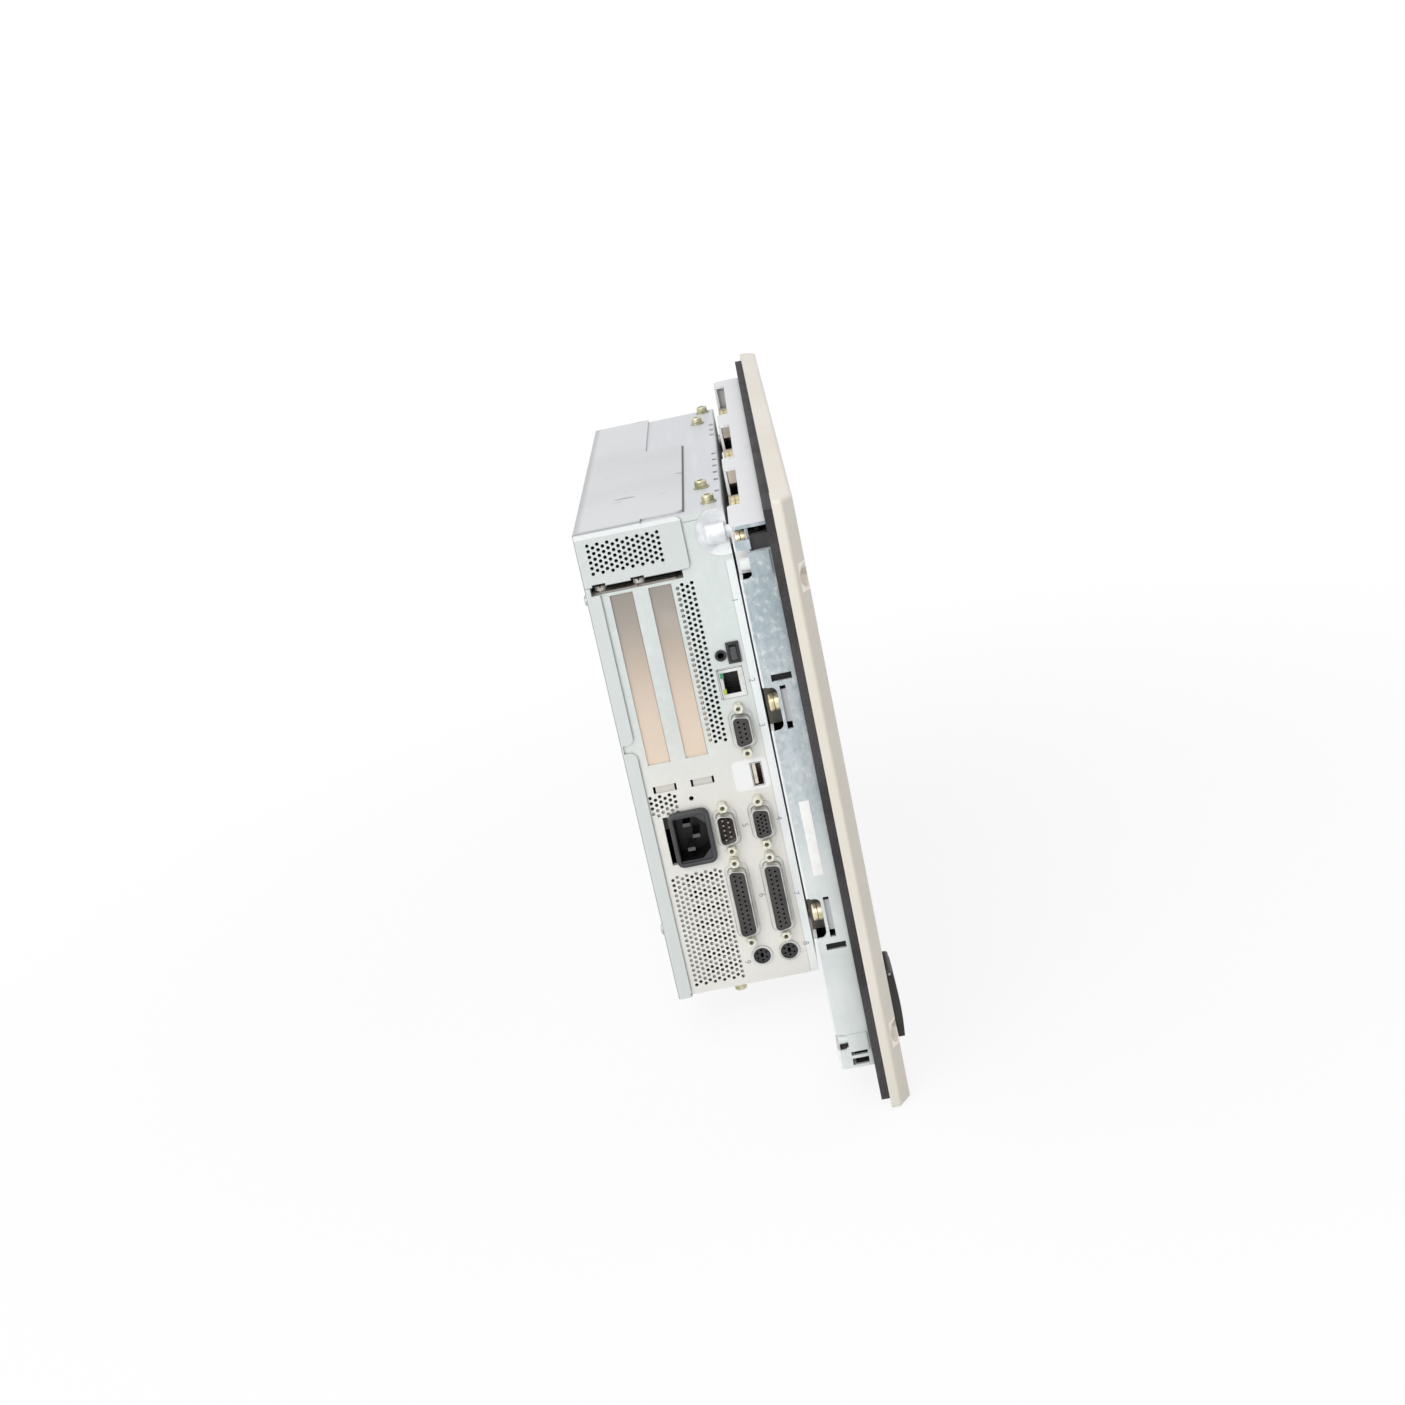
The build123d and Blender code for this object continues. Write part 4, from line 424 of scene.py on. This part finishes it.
nylon.wire(Base_Color=nylon.clouds(120, 3, tone(234, 236, 234), tone(214, 217, 214), 0.4, 0.7),
           Roughness=0.3 + 0.12 * nylon.noise(300, 2))
dress(nylon, "frame_spacers")
# Painted shade: near black sheets behind the side slots, where only shade shows through them.
slot_shade = Finish("slot_shade_film", tone(10, 10, 11), 0.7)
slot_shade.wire(Base_Color=slot_shade.clouds(120, 3, tone(8, 8, 9), tone(14, 14, 15)),
            Roughness=0.6 + 0.2 * slot_shade.noise(500, 2))
slot_shade_size = 0.0118, 0.0054
slot_shade_middle = 0.0110
for side, x in (("near", -0.22015), ("far", 0.22045)):
    for level, z in (("upper", 0.0686), ("lower", -0.0722)):
        port_ring(f"{side}_{level}_slot_shade_sheet", (x, slot_shade_middle, z), slot_shade_size, corner=0.0008,
                  width=0, rise=0.0003, round_off=0.00005, finish=slot_shade)
paper = Finish("label_stock", tone(246, 246, 244), 0.5)
paper.wire(Base_Color=paper.clouds(200, 3, tone(250, 250, 248), tone(240, 240, 237), 0.4, 0.7),
           Roughness=0.45 + 0.2 * paper.noise(500, 2))
dress(paper, "blank_label")

# Computer unit: a port plate and a folded case of zinc plated sheet, cool in the upper half and
# warmer below, with faint rolling lines, light scuffs and painted shade in its corners. The port
# plate's folded front border carries a painted highlight and a painted shade line at its step, a
# white primer patch surrounds the bus socket, and painted shade stands for a gap by the inlet.
port_side = -0.12195, -0.12185
case_fade = -0.03, 0.05
fold_line = 0.0281, 0.0284
fold_step = 0.0284, 0.0286
fold_top = 0.1035, 0.1055
case_top = 0.13195, 0.1321
patch_y, patch_z = 0.0382, -0.0122
patch_half_y, patch_half_z = 0.0066, 0.0058
patch_rounding = 0.0000052, 0.0000096
inlet_gap_shade_depth = 0.0866, 0.0893
inlet_gap_shade_height = -0.0543, -0.0268
inlet_gap_shade_blur = 0.0003
corner_rim_depth = 0.0246, 0.0455
corner_rim_height = 0.1282, 0.1285
above_case = 0.1321, 0.1322
lid_shadow_depth = 0.0441, 0.0447
lid_shadow_length = -0.116, 0.072
lid_shadow_blur = 0.0004
lid_shadow_end_blur = 0.0005

plated = Finish("plated_sheet", tone(220, 224, 221), 0.42, 0.3)
cloud = plated.noise(11, 4)
rolled = plated.noise(260, 3, (0.08, 1, 1))
scuff = plated.noise(75, 6, (1, 0.3, 1)).over(0.69, 0.75)
cool = plated.mix(cloud.over(0.35, 0.7), tone(208, 215, 212), tone(198, 204, 202))
warm = plated.mix(cloud.over(0.35, 0.7), tone(228, 226, 220), tone(218, 216, 210))
shade = plated.mix(plated.z.over(*case_fade), warm, cool)
shade = plated.mix(plated.z.over(*case_top), shade, tone(206, 208, 212))
shade = plated.mix(rolled.over(0.4, 0.8) * 0.22, shade, tone(232, 235, 233))
port_face = 1 - plated.x.over(*port_side)
below_corner = port_face * (1 - plated.z.over(*fold_top))
# Painted highlight on the port plate's folded front border.
fold_border_highlight = below_corner * (1 - plated.y.over(*fold_line))
shade = plated.mix(fold_border_highlight * 0.8, shade, tone(232, 236, 237))
# Painted shade line where the folded border steps down to the plate.
border_step_shade = below_corner * plated.y.within(*fold_step, soft_edge)
shade = plated.mix(border_step_shade * 0.35, shade, tone(150, 154, 152))
past_y = (abs(plated.y - patch_y) - patch_half_y).at_least(0.0)
past_z = (abs(plated.z - patch_z) - patch_half_z).at_least(0.0)
patch = port_face * (1 - (past_y * past_y + past_z * past_z).over(*patch_rounding))
shade = plated.mix(patch * 0.85, shade, tone(234, 235, 235))
# Painted shade, nearly black, on the port face beside the inlet, standing for a gap.
inlet_gap_shade = port_face * plated.y.within(*inlet_gap_shade_depth, soft_edge)
inlet_gap_shade = inlet_gap_shade * plated.z.within(*inlet_gap_shade_height, inlet_gap_shade_blur)
shade = plated.mix(inlet_gap_shade, shade, tone(12, 12, 13))
top_rim = port_face * plated.y.within(*corner_rim_depth, soft_edge)
top_rim = top_rim * plated.z.within(*corner_rim_height, soft_edge)
shade = plated.mix(top_rim * 0.6, shade, tone(120, 122, 122))
lid_shadow = plated.z.over(*above_case) * plated.y.within(*lid_shadow_depth, lid_shadow_blur)
lid_shadow = lid_shadow * plated.x.within(*lid_shadow_length, lid_shadow_end_blur)
shade = plated.mix(lid_shadow * 0.8, shade, tone(70, 72, 74))
shade = plated.mix(scuff * 0.45, shade, tone(172, 175, 173))
# Painted shade darkens the sheet in corners and under edges.
plated.wire(Base_Color=plated.mix(plated.crevice(0.0025) * 0.6, shade, tone(112, 114, 112)),
            Roughness=0.36 + 0.14 * cloud + 0.08 * rolled)
plated.bump(rolled, 0.00002, 0.4)
dress(plated, "port_plate", "unit_chassis")

# Rear cover: a shallow lid of the same sheet, a little warmer, held by bright domed screws. Its top
# has been pushed over benches: short dark scratches. Painted shade darkens its corners, its top
# towards the near and rear rims and the near side's top and rear edges; painted shadow lines run
# along the seams where its flanges end, and a painted highlight runs below the near side's top
# bend.
lid_near = -0.12205, -0.1219
lid_top = 0.1333, 0.1334
lid_rear = 0.1019, 0.1022
lid_scratched = 0.1330, 0.1333
rim_from_near = -0.1222, -0.117
rim_from_rear = 0.0975, 0.1018
near_fold = 0.1303, 0.1324
near_fold_blur = 0.0004
near_corner_top = 0.1328, 0.1331
near_corner_rear = 0.1017, 0.1021
flange_end = 0.0946, 0.0951
flange_top = 0.1043, 0.1048
above_flange = 0.1045, 0.1046
side_seam = 0.0462, 0.0467
top_seam_depth = 0.0440, 0.0450
top_seam_height = 0.1322, 0.1323

lid = Finish("lid_sheet", tone(208, 209, 211), 0.4, 0.3)
cloud = lid.noise(7, 5)
rolled = lid.noise(260, 3, (1, 0.08, 1))
scratch = lid.noise(200, 2, (1.3, 0.3, 0.2)).over(0.68, 0.71) * lid.noise(16, 1).over(0.5, 0.58)
scratch = scratch * lid.z.over(*lid_scratched)
rub = lid.noise(190, 2, (0.12, 1, 1.4)).over(0.68, 0.72) * lid.noise(19, 1).over(0.52, 0.6)
rub = rub * lid.y.over(*lid_rear)
scuff = lid.noise(42, 7, (0.35, 1, 1), 0.62).over(0.66, 0.72)
shade = lid.mix(cloud.over(0.35, 0.7), tone(208, 209, 210), tone(196, 198, 200))
shade = lid.mix(rolled.over(0.45, 0.85) * 0.12, shade, tone(224, 225, 226))
near_side = 1 - lid.x.over(*lid_near)
top = lid.z.over(*lid_top)
# Painted shade: the top darker towards its near and rear rims.
rim = top * (1 - lid.x.over(*rim_from_near) * (1 - lid.y.over(*rim_from_rear)))
shade = lid.mix(rim * 0.5, shade, tone(138, 139, 142))
shade = lid.mix(near_side, shade, tone(206, 211, 209))
shade = lid.mix(scuff * 0.4, shade, tone(168, 170, 173))
shade = lid.mix(scratch * 0.75 + rub * 0.4, shade, tone(112, 114, 118))
# Painted highlight: a pale band just below the near side's top bend.
near_fold_highlight = near_side * lid.z.within(*near_fold, near_fold_blur)
shade = lid.mix(near_fold_highlight * 0.7, shade, tone(236, 239, 240))
# Painted shade: dark lines along the near side's top bend and rear edge.
corner = near_side * (lid.z.over(*near_corner_top) + lid.y.over(*near_corner_rear))
shade = lid.mix(corner * 0.6, shade, tone(120, 121, 124))
# Painted shadow lines where the flanges end and along the side seam.
flange_seam_shadow = near_side * (lid.y.within(*flange_end, crisp_edge) * (1 - lid.z.over(*above_flange))
                    + lid.z.within(*flange_top, crisp_edge) + lid.y.within(*side_seam, crisp_edge))
shade = lid.mix(flange_seam_shadow * 0.55, shade, tone(120, 123, 122))
# Painted shadow along the flange's edge on the top.
top_seam_shadow = lid.z.over(*top_seam_height) * lid.y.within(*top_seam_depth, crisp_edge)
shade = lid.mix(top_seam_shadow * 0.8, shade, tone(70, 72, 74))
# Painted shade darkens the lid in corners and under edges.
lid.wire(Base_Color=lid.mix(lid.crevice(0.0025) * 0.6, shade, tone(112, 114, 114)),
         Roughness=0.34 + 0.16 * cloud + 0.1 * scuff)
lid.bump(0.4 * rolled - 0.6 * scuff, 0.00003, 0.5)
dress(lid, "rear_cover")
bright = Finish("bright_screw", tone(205, 203, 198), 0.28, 0.85)
shade = bright.clouds(300, 3, tone(212, 210, 205), tone(168, 165, 160))
# Painted shade darkens the screws and spacers in their corners.
bright.wire(Base_Color=bright.mix(bright.crevice(0.0015) * 0.6, shade, tone(84, 80, 76)),
            Roughness=0.22 + 0.25 * bright.noise(600, 2))
dress(bright, "cover_screws", "unit_spacers")

# Hinge at the port plate's upper corner: a cast barrel on a foot disc, bright plated, with a soft
# cast skin and painted shade in its corners.
hinge = Finish("hinge_casting", tone(226, 228, 230), 0.3, 0.3)
skin = hinge.noise(320, 4)
shade = hinge.clouds(90, 4, tone(236, 238, 239), tone(204, 207, 210), 0.35, 0.65)
hinge.wire(Base_Color=hinge.mix(hinge.crevice(0.003) * 0.35, shade, tone(150, 152, 156)),
           Roughness=0.24 + 0.2 * skin)
hinge.bump(skin, 0.0001, 0.5)
dress(hinge, "corner_hinge")

# Card slots: bright plated blanking brackets with painted reflections of what stands round them,
# brown grey above and peach below, and painted shade lines along their edges, with two slotted
# screws on their ledge. Ledge and screws are painted pale, as painted light in the slot's shade.
bracket_edges = (0.0786, 0.0789), (0.0583, 0.0586)
bracket_foot = -0.004, -0.002
peach_reflection_fade = -0.005, 0.06
grey_reflection_fade = 0.03, 0.1

slotted = Finish("bracket_plate", tone(206, 192, 180), 0.3, 0.45)
# Painted reflections: peach below and brown grey above; the foot keeps a pale grey.
peach_reflection = slotted.mix(slotted.z.over(*peach_reflection_fade), tone(226, 208, 189), tone(212, 194, 177))
shade = slotted.mix(slotted.z.over(*grey_reflection_fade), peach_reflection, tone(154, 148, 141))
shade = slotted.mix(slotted.z.over(*bracket_foot), tone(206, 203, 196), shade)
# Painted shade lines along the brackets' edges.
edge_shade_line = sum(slotted.y.within(*edge, soft_edge) for edge in bracket_edges)
shade = slotted.mix(edge_shade_line * 0.5, shade, tone(120, 112, 104))
blot = slotted.noise(45, 4)
slotted.wire(Base_Color=slotted.mix(blot.over(0.5, 0.8) * 0.25, shade, tone(196, 190, 184)),
             Roughness=0.26 + 0.18 * blot)
slotted.bump(slotted.noise(300, 3, (1, 1, 0.1)), 0.00002, 0.4)
dress(slotted, "card_brackets")
# Painted light: the ledge and its screws are painted near white where they lie in the slot's shade,
# with painted shade in their corners.
ledge_painted_light = Finish("ledge_plate_painted_light", tone(240, 233, 224), 0.3, 0.15)
blot = ledge_painted_light.noise(110, 4)
shade = ledge_painted_light.mix(blot.over(0.4, 0.65), tone(248, 243, 236), tone(214, 204, 194))
ledge_painted_light.wire(Base_Color=ledge_painted_light.mix(ledge_painted_light.crevice(0.0006) * 0.5, shade, tone(70, 64, 60)),
           Roughness=0.2 + 0.2 * blot)
ledge_painted_light.bump(blot, 0.00002)
dress(ledge_painted_light, "card_shelf", "card_screws")

# Boards inside the case: green solder mask over glass fibre with lighter tracks, on bright posts,
# and an extruded heat sink.
mask = Finish("solder_mask", tone(30, 92, 58), 0.35)
track = mask.noise(160, 2).over(0.47, 0.53)
mask.wire(Base_Color=mask.mix(track, tone(26, 84, 52), tone(44, 112, 70)),
          Roughness=0.3 + 0.15 * track)
mask.bump(track, 0.00004)
dress(mask, "main_board", "riser_board", "port_board", "memory_module", "supply_board",
      "backlight_inverter")
dress(bright, "board_posts")
fins = Finish("extruded_aluminium", tone(182, 184, 186), 0.35, 0.9)
fins.wire(Roughness=0.28 + 0.2 * fins.noise(300, 3, (0.05, 1, 1)),
          Base_Color=fins.mix(fins.noise(80, 3), tone(176, 178, 180), tone(196, 197, 198)))
dress(fins, "processor_heatsink")

# D shaped connectors: tinned shells round moulded bodies with plain contacts. The serial port's
# body is brown black and carries pins. Pale yellow hexagon posts stand at their ends.
dress(tin, "dsub_shells")
body = Finish("contact_body", tone(72, 71, 72), 0.5)
grain = body.noise(900, 2)
shade = body.clouds(90, 3, tone(60, 58, 57), tone(46, 44, 44))
# Painted shade blackens the contact holes and corners of the bodies.
body.wire(Base_Color=body.mix(body.crevice(0.0012) * 0.95, shade, tone(5, 5, 5)),
          Roughness=0.42 + 0.2 * grain)
body.bump(grain, 0.00003)
dress(body, "dsub_inserts")
brown = Finish("pin_body", tone(44, 34, 30), 0.4)
brown.wire(Base_Color=brown.clouds(90, 3, tone(48, 37, 33), tone(34, 27, 25)),
           Roughness=0.34 + 0.2 * brown.noise(900, 2))
dress(brown, "serial_insert")
silver = Finish("silver_pin", tone(186, 174, 166), 0.25, 1.0)
silver.wire(Base_Color=silver.mix(silver.noise(700, 2), tone(190, 178, 170), tone(140, 126, 118)),
            Roughness=0.2 + 0.15 * silver.noise(900, 2))
dress(silver, "serial_pins")
posts = Finish("pale_zinc", tone(226, 225, 212), 0.3, 0.5)
shift = posts.noise(300, 3)
hue = posts.mix(shift.over(0.4, 0.6), tone(232, 231, 220), tone(214, 210, 188))
# Painted shade darkens the posts in their corners.
posts.wire(Base_Color=posts.mix(posts.crevice(0.0015) * 0.7, hue, tone(82, 80, 66)),
           Roughness=0.22 + 0.25 * posts.noise(500, 2))
dress(posts, "jack_screws")

# Rims round the D shaped connectors: low beads pressed out of the port plate's sheet where each
# shell comes through, as bright as the tinned shells.
rim_x = -0.12198
rim_height = 0.0132
rim_margin = 0.0048
short_shell = 0.0169
long_shell = 0.03896
for name, y, z, length in (("bus_port_rim", 0.0376, 0.0138, short_shell),
                           ("monitor_port_rim", 0.0376, -0.0387, short_shell),
                           ("serial_port_rim", 0.0567, -0.0387, short_shell),
                           ("long_serial_port_rim", 0.0567, -0.0819, long_shell),
                           ("printer_port_rim", 0.0376, -0.0822, long_shell)):
    port_ring(name, (rim_x, y, z), (rim_height, length + rim_margin), corner=0.0042,
              width=0.0004, rise=0.0003, round_off=0.0001, finish=tin)

# Round keyboard and mouse sockets: black moulded bodies, each in a collar of tinned sheet that
# stands in an opening of the port plate.
black = Finish("black_moulding", tone(34, 34, 36), 0.42)
grain = black.noise(900, 2)
shade = black.clouds(90, 3, tone(34, 34, 36), tone(48, 48, 50))
# Painted shade darkens the mouldings in their corners and openings.
black.wire(Base_Color=black.mix(black.crevice(0.0015) * 0.8, shade, tone(6, 6, 6)),
           Roughness=0.34 + 0.2 * grain)
black.bump(grain, 0.00003)
dress(black, "round_socket_inserts")
dress(tin, "socket_collars")

# Network jack: a bright frame with a black mouth behind it and gold contacts, with a green and a
# yellow lamp on the lid's side.
jack_rim = -0.1219, -0.1217
jack_line_depth = 0.0440, 0.0443
jack_line_height = 0.0473, 0.0476

jack = Finish("network_shield", tone(214, 214, 212), 0.3, 0.5)
rim = jack.x.over(*jack_rim)
shade = jack.clouds(150, 4, tone(226, 227, 226), tone(198, 199, 197))
line = jack.y.within(*jack_line_depth, crisp_edge) + jack.z.within(*jack_line_height, crisp_edge)
shade = jack.mix(line * 0.8, shade, tone(60, 60, 60))
jack.wire(Base_Color=jack.mix(rim, shade, tone(14, 14, 15)), Metallic=0.5 - 0.5 * rim,
          Roughness=0.28 + 0.15 * jack.noise(400, 3))
dress(jack, "network_jack")
gold = Finish("gold_flash", tone(212, 188, 120), 0.25, 1.0)
gold.wire(Base_Color=gold.mix(gold.noise(700, 2), tone(222, 200, 140), tone(190, 160, 90)),
          Roughness=0.2 + 0.15 * gold.noise(900, 2))
dress(gold, "network_contacts")


def lamp_block(name, centre, size, colour):
    """Small moulded lamp with rounded edges in the network jack's frame."""
    bpy.ops.object.select_all(action="DESELECT")
    bpy.ops.mesh.primitive_cube_add(size=1, location=centre)
    lamp = bpy.context.object
    lamp.scale = size
    bpy.ops.object.transform_apply(location=True, rotation=True, scale=True)
    bpy.ops.object.mode_set(mode="EDIT")
    bpy.ops.mesh.select_all(action="SELECT")
    bpy.ops.mesh.bevel(offset=0.0003, segments=3, affect="EDGES")
    bpy.ops.object.mode_set(mode="OBJECT")
    bpy.ops.object.shade_smooth_by_angle(angle=radians(50))
    lens = Finish(name + "_lens", colour, 0.25, Coat_Weight=0.4)
    grain = lens.noise(900, 2)
    darker = tuple(0.7 * step for step in colour)
    lens.wire(Base_Color=lens.mix(grain.over(0.4, 0.7), colour, darker),
              Roughness=0.2 + 0.2 * grain)
    settle(lamp, name, lens)


lamp_size = 0.0012, 0.0020, 0.0030
lamp_x = -0.1219
lamp_y = 0.04255
lamp_block("link_lamp", (lamp_x, lamp_y, 0.0443), lamp_size, tone(52, 140, 96))
lamp_block("activity_lamp", (lamp_x, lamp_y, 0.0354), lamp_size, tone(176, 190, 60))

# Bus sockets, one in the port plate and one behind the front's flap: bright shells folded from
# plated sheet, each round a moulded cream tongue, with painted shade inside the port plate's one.
shell_mouth = -0.1218, -0.1214
above_front_socket = -0.03, -0.028

shell = Finish("bus_shell", tone(222, 221, 218), 0.22, 0.85)
# Painted shade inside the port plate's shell, brown dark.
shell_inner_shade = shell.x.over(*shell_mouth) * shell.z.over(*above_front_socket)
shade = shell.clouds(200, 3, tone(226, 225, 222), tone(190, 188, 184))
shell.wire(Base_Color=shell.mix(shell_inner_shade, shade, tone(96, 84, 76)),
           Roughness=0.2 + 0.15 * shell.noise(500, 2))
dress(shell, "usb_sockets")
tongue = Finish("bus_tongue", tone(226, 218, 206), 0.4)
tongue.wire(Base_Color=tongue.clouds(300, 3, tone(232, 225, 214), tone(206, 196, 184)),
            Roughness=0.36 + 0.15 * tongue.noise(700, 2))
dress(tongue, "usb_inserts")

# Power switch and audio jack: the switch is a black moulded frame with a dark grey rocker that
# tilts in it, and the jack is a black moulded body.
dress(black, "switch_frame", "audio_jack")
slate = Finish("rocker_moulding", tone(78, 79, 81), 0.45)
slate.wire(Base_Color=slate.clouds(200, 3, tone(82, 83, 85), tone(66, 67, 69)),
           Roughness=0.36 + 0.2 * slate.noise(900, 2))
dress(slate, "power_rocker")

# Printed numbers beside the ports: small grey figures in thin, slightly worn ink on the port
# plate, read downwards.
ink = Finish("grey_ink", tone(140, 141, 146), 0.6)
wornness = ink.noise(1400, 2)
ink.wire(Base_Color=ink.mix(wornness.over(0.4, 0.7), tone(136, 137, 142), tone(168, 169, 173)),
         Roughness=0.5 + 0.2 * wornness)
print_face = -0.12203
print_size = 0.0046
print_thickness = 0.00002
figure_places = ((0.0277, 0.0830), (0.0276, 0.0390), (0.0272, 0.0137), (0.0285, -0.0394),
                 (0.0470, -0.0396), (0.0460, -0.0811), (0.0278, -0.0838), (0.0281, -0.1138),
                 (0.0612, -0.1183))
figures = []
for figure, (y, z) in enumerate(figure_places, start=1):
    bpy.ops.object.select_all(action="DESELECT")
    bpy.ops.object.text_add()
    text = bpy.context.object
    text.data.body = str(figure)
    text.data.size = print_size
    text.data.extrude = print_thickness
    text.data.align_x = "CENTER"
    text.data.align_y = "CENTER"
    text.matrix_world = (Matrix.Translation((print_face, y, z))
                         @ Matrix(((0, 0, -1, 0), (0, -1, 0, 0), (-1, 0, 0, 0), (0, 0, 0, 1))))
    bpy.ops.object.convert(target="MESH")
    figures.append(bpy.context.object)
bpy.ops.object.select_all(action="DESELECT")
for text in figures:
    text.select_set(True)
bpy.context.view_layer.objects.active = figures[0]
bpy.ops.object.join()
settle(bpy.context.object, "port_numbers", ink)

# Power supply: its slotted case behind the port plate, and the mains inlet with a fat rounded lip
# of satin black moulding round its nickel pins. Painted shade darkens the inlet's mouth, and the
# pins are painted dark as metal in shade.
inlet_mouth = -0.1243, -0.1225
lip_centre = -0.1244, 0.0756, -0.0404
lip_size = 0.0220, 0.0310

dress(plated, "supply_case")
satin = Finish("inlet_moulding", tone(56, 57, 60), 0.38)
grain = satin.noise(700, 3)
# Painted shade: the moulding nearly black inside the mouth.
inlet_mouth_shade = satin.x.over(*inlet_mouth)
shade = satin.clouds(60, 3, tone(60, 61, 64), tone(48, 49, 52))
satin.wire(Base_Color=satin.mix(inlet_mouth_shade, shade, tone(14, 14, 15)), Roughness=0.3 + 0.2 * grain)
satin.bump(grain, 0.00004)
dress(satin, "power_inlet")
port_ring("inlet_lip", lip_centre, lip_size, corner=0.0040, width=0.0024, rise=0.0014,
          round_off=0.0010, finish=satin)
# Painted shade: the nickel pins painted dark, as they look in the mouth's shade.
nickel_in_shade = Finish("nickel_pin", tone(96, 96, 99), 0.2, 1.0)
nickel_in_shade.wire(Base_Color=nickel_in_shade.mix(nickel_in_shade.noise(300, 2), tone(112, 112, 115), tone(70, 70, 74)),
            Roughness=0.16 + 0.2 * nickel_in_shade.noise(600, 2))
dress(nickel_in_shade, "inlet_pins")

# Fans: black mouldings, each a frame with a bladed rotor turning in it. The case fan stands behind
# the far wall's holes and a small one in the supply.
dress(black, "case_fan_frame", "case_fan_rotor", "supply_fan_frame", "supply_fan_rotor")

# Disc drive in a tinned sheet case with its dark moulded tray and button, and the hard disk, a
# cast housing, on a bridge of plated sheet above it.
dress(tin, "disc_drive")
dress(plated, "disk_bridge")
tray = Finish("tray_moulding", tone(62, 62, 65), 0.45)
grain = tray.cells(1800)
tray.wire(Base_Color=tray.clouds(70, 3, tone(64, 64, 67), tone(54, 54, 57)),
          Roughness=0.38 + 0.2 * grain)
tray.bump(grain, 0.00005)
dress(tray, "disc_tray", "eject_button")
cast = Finish("cast_housing", tone(120, 122, 124), 0.45, 0.8)
cast.wire(Roughness=0.4 + 0.2 * cast.noise(500, 3),
          Base_Color=cast.mix(cast.noise(60, 4), tone(112, 114, 116), tone(134, 136, 138)))
cast.bump(cast.noise(900, 2), 0.00005)
dress(cast, "hard_disk")
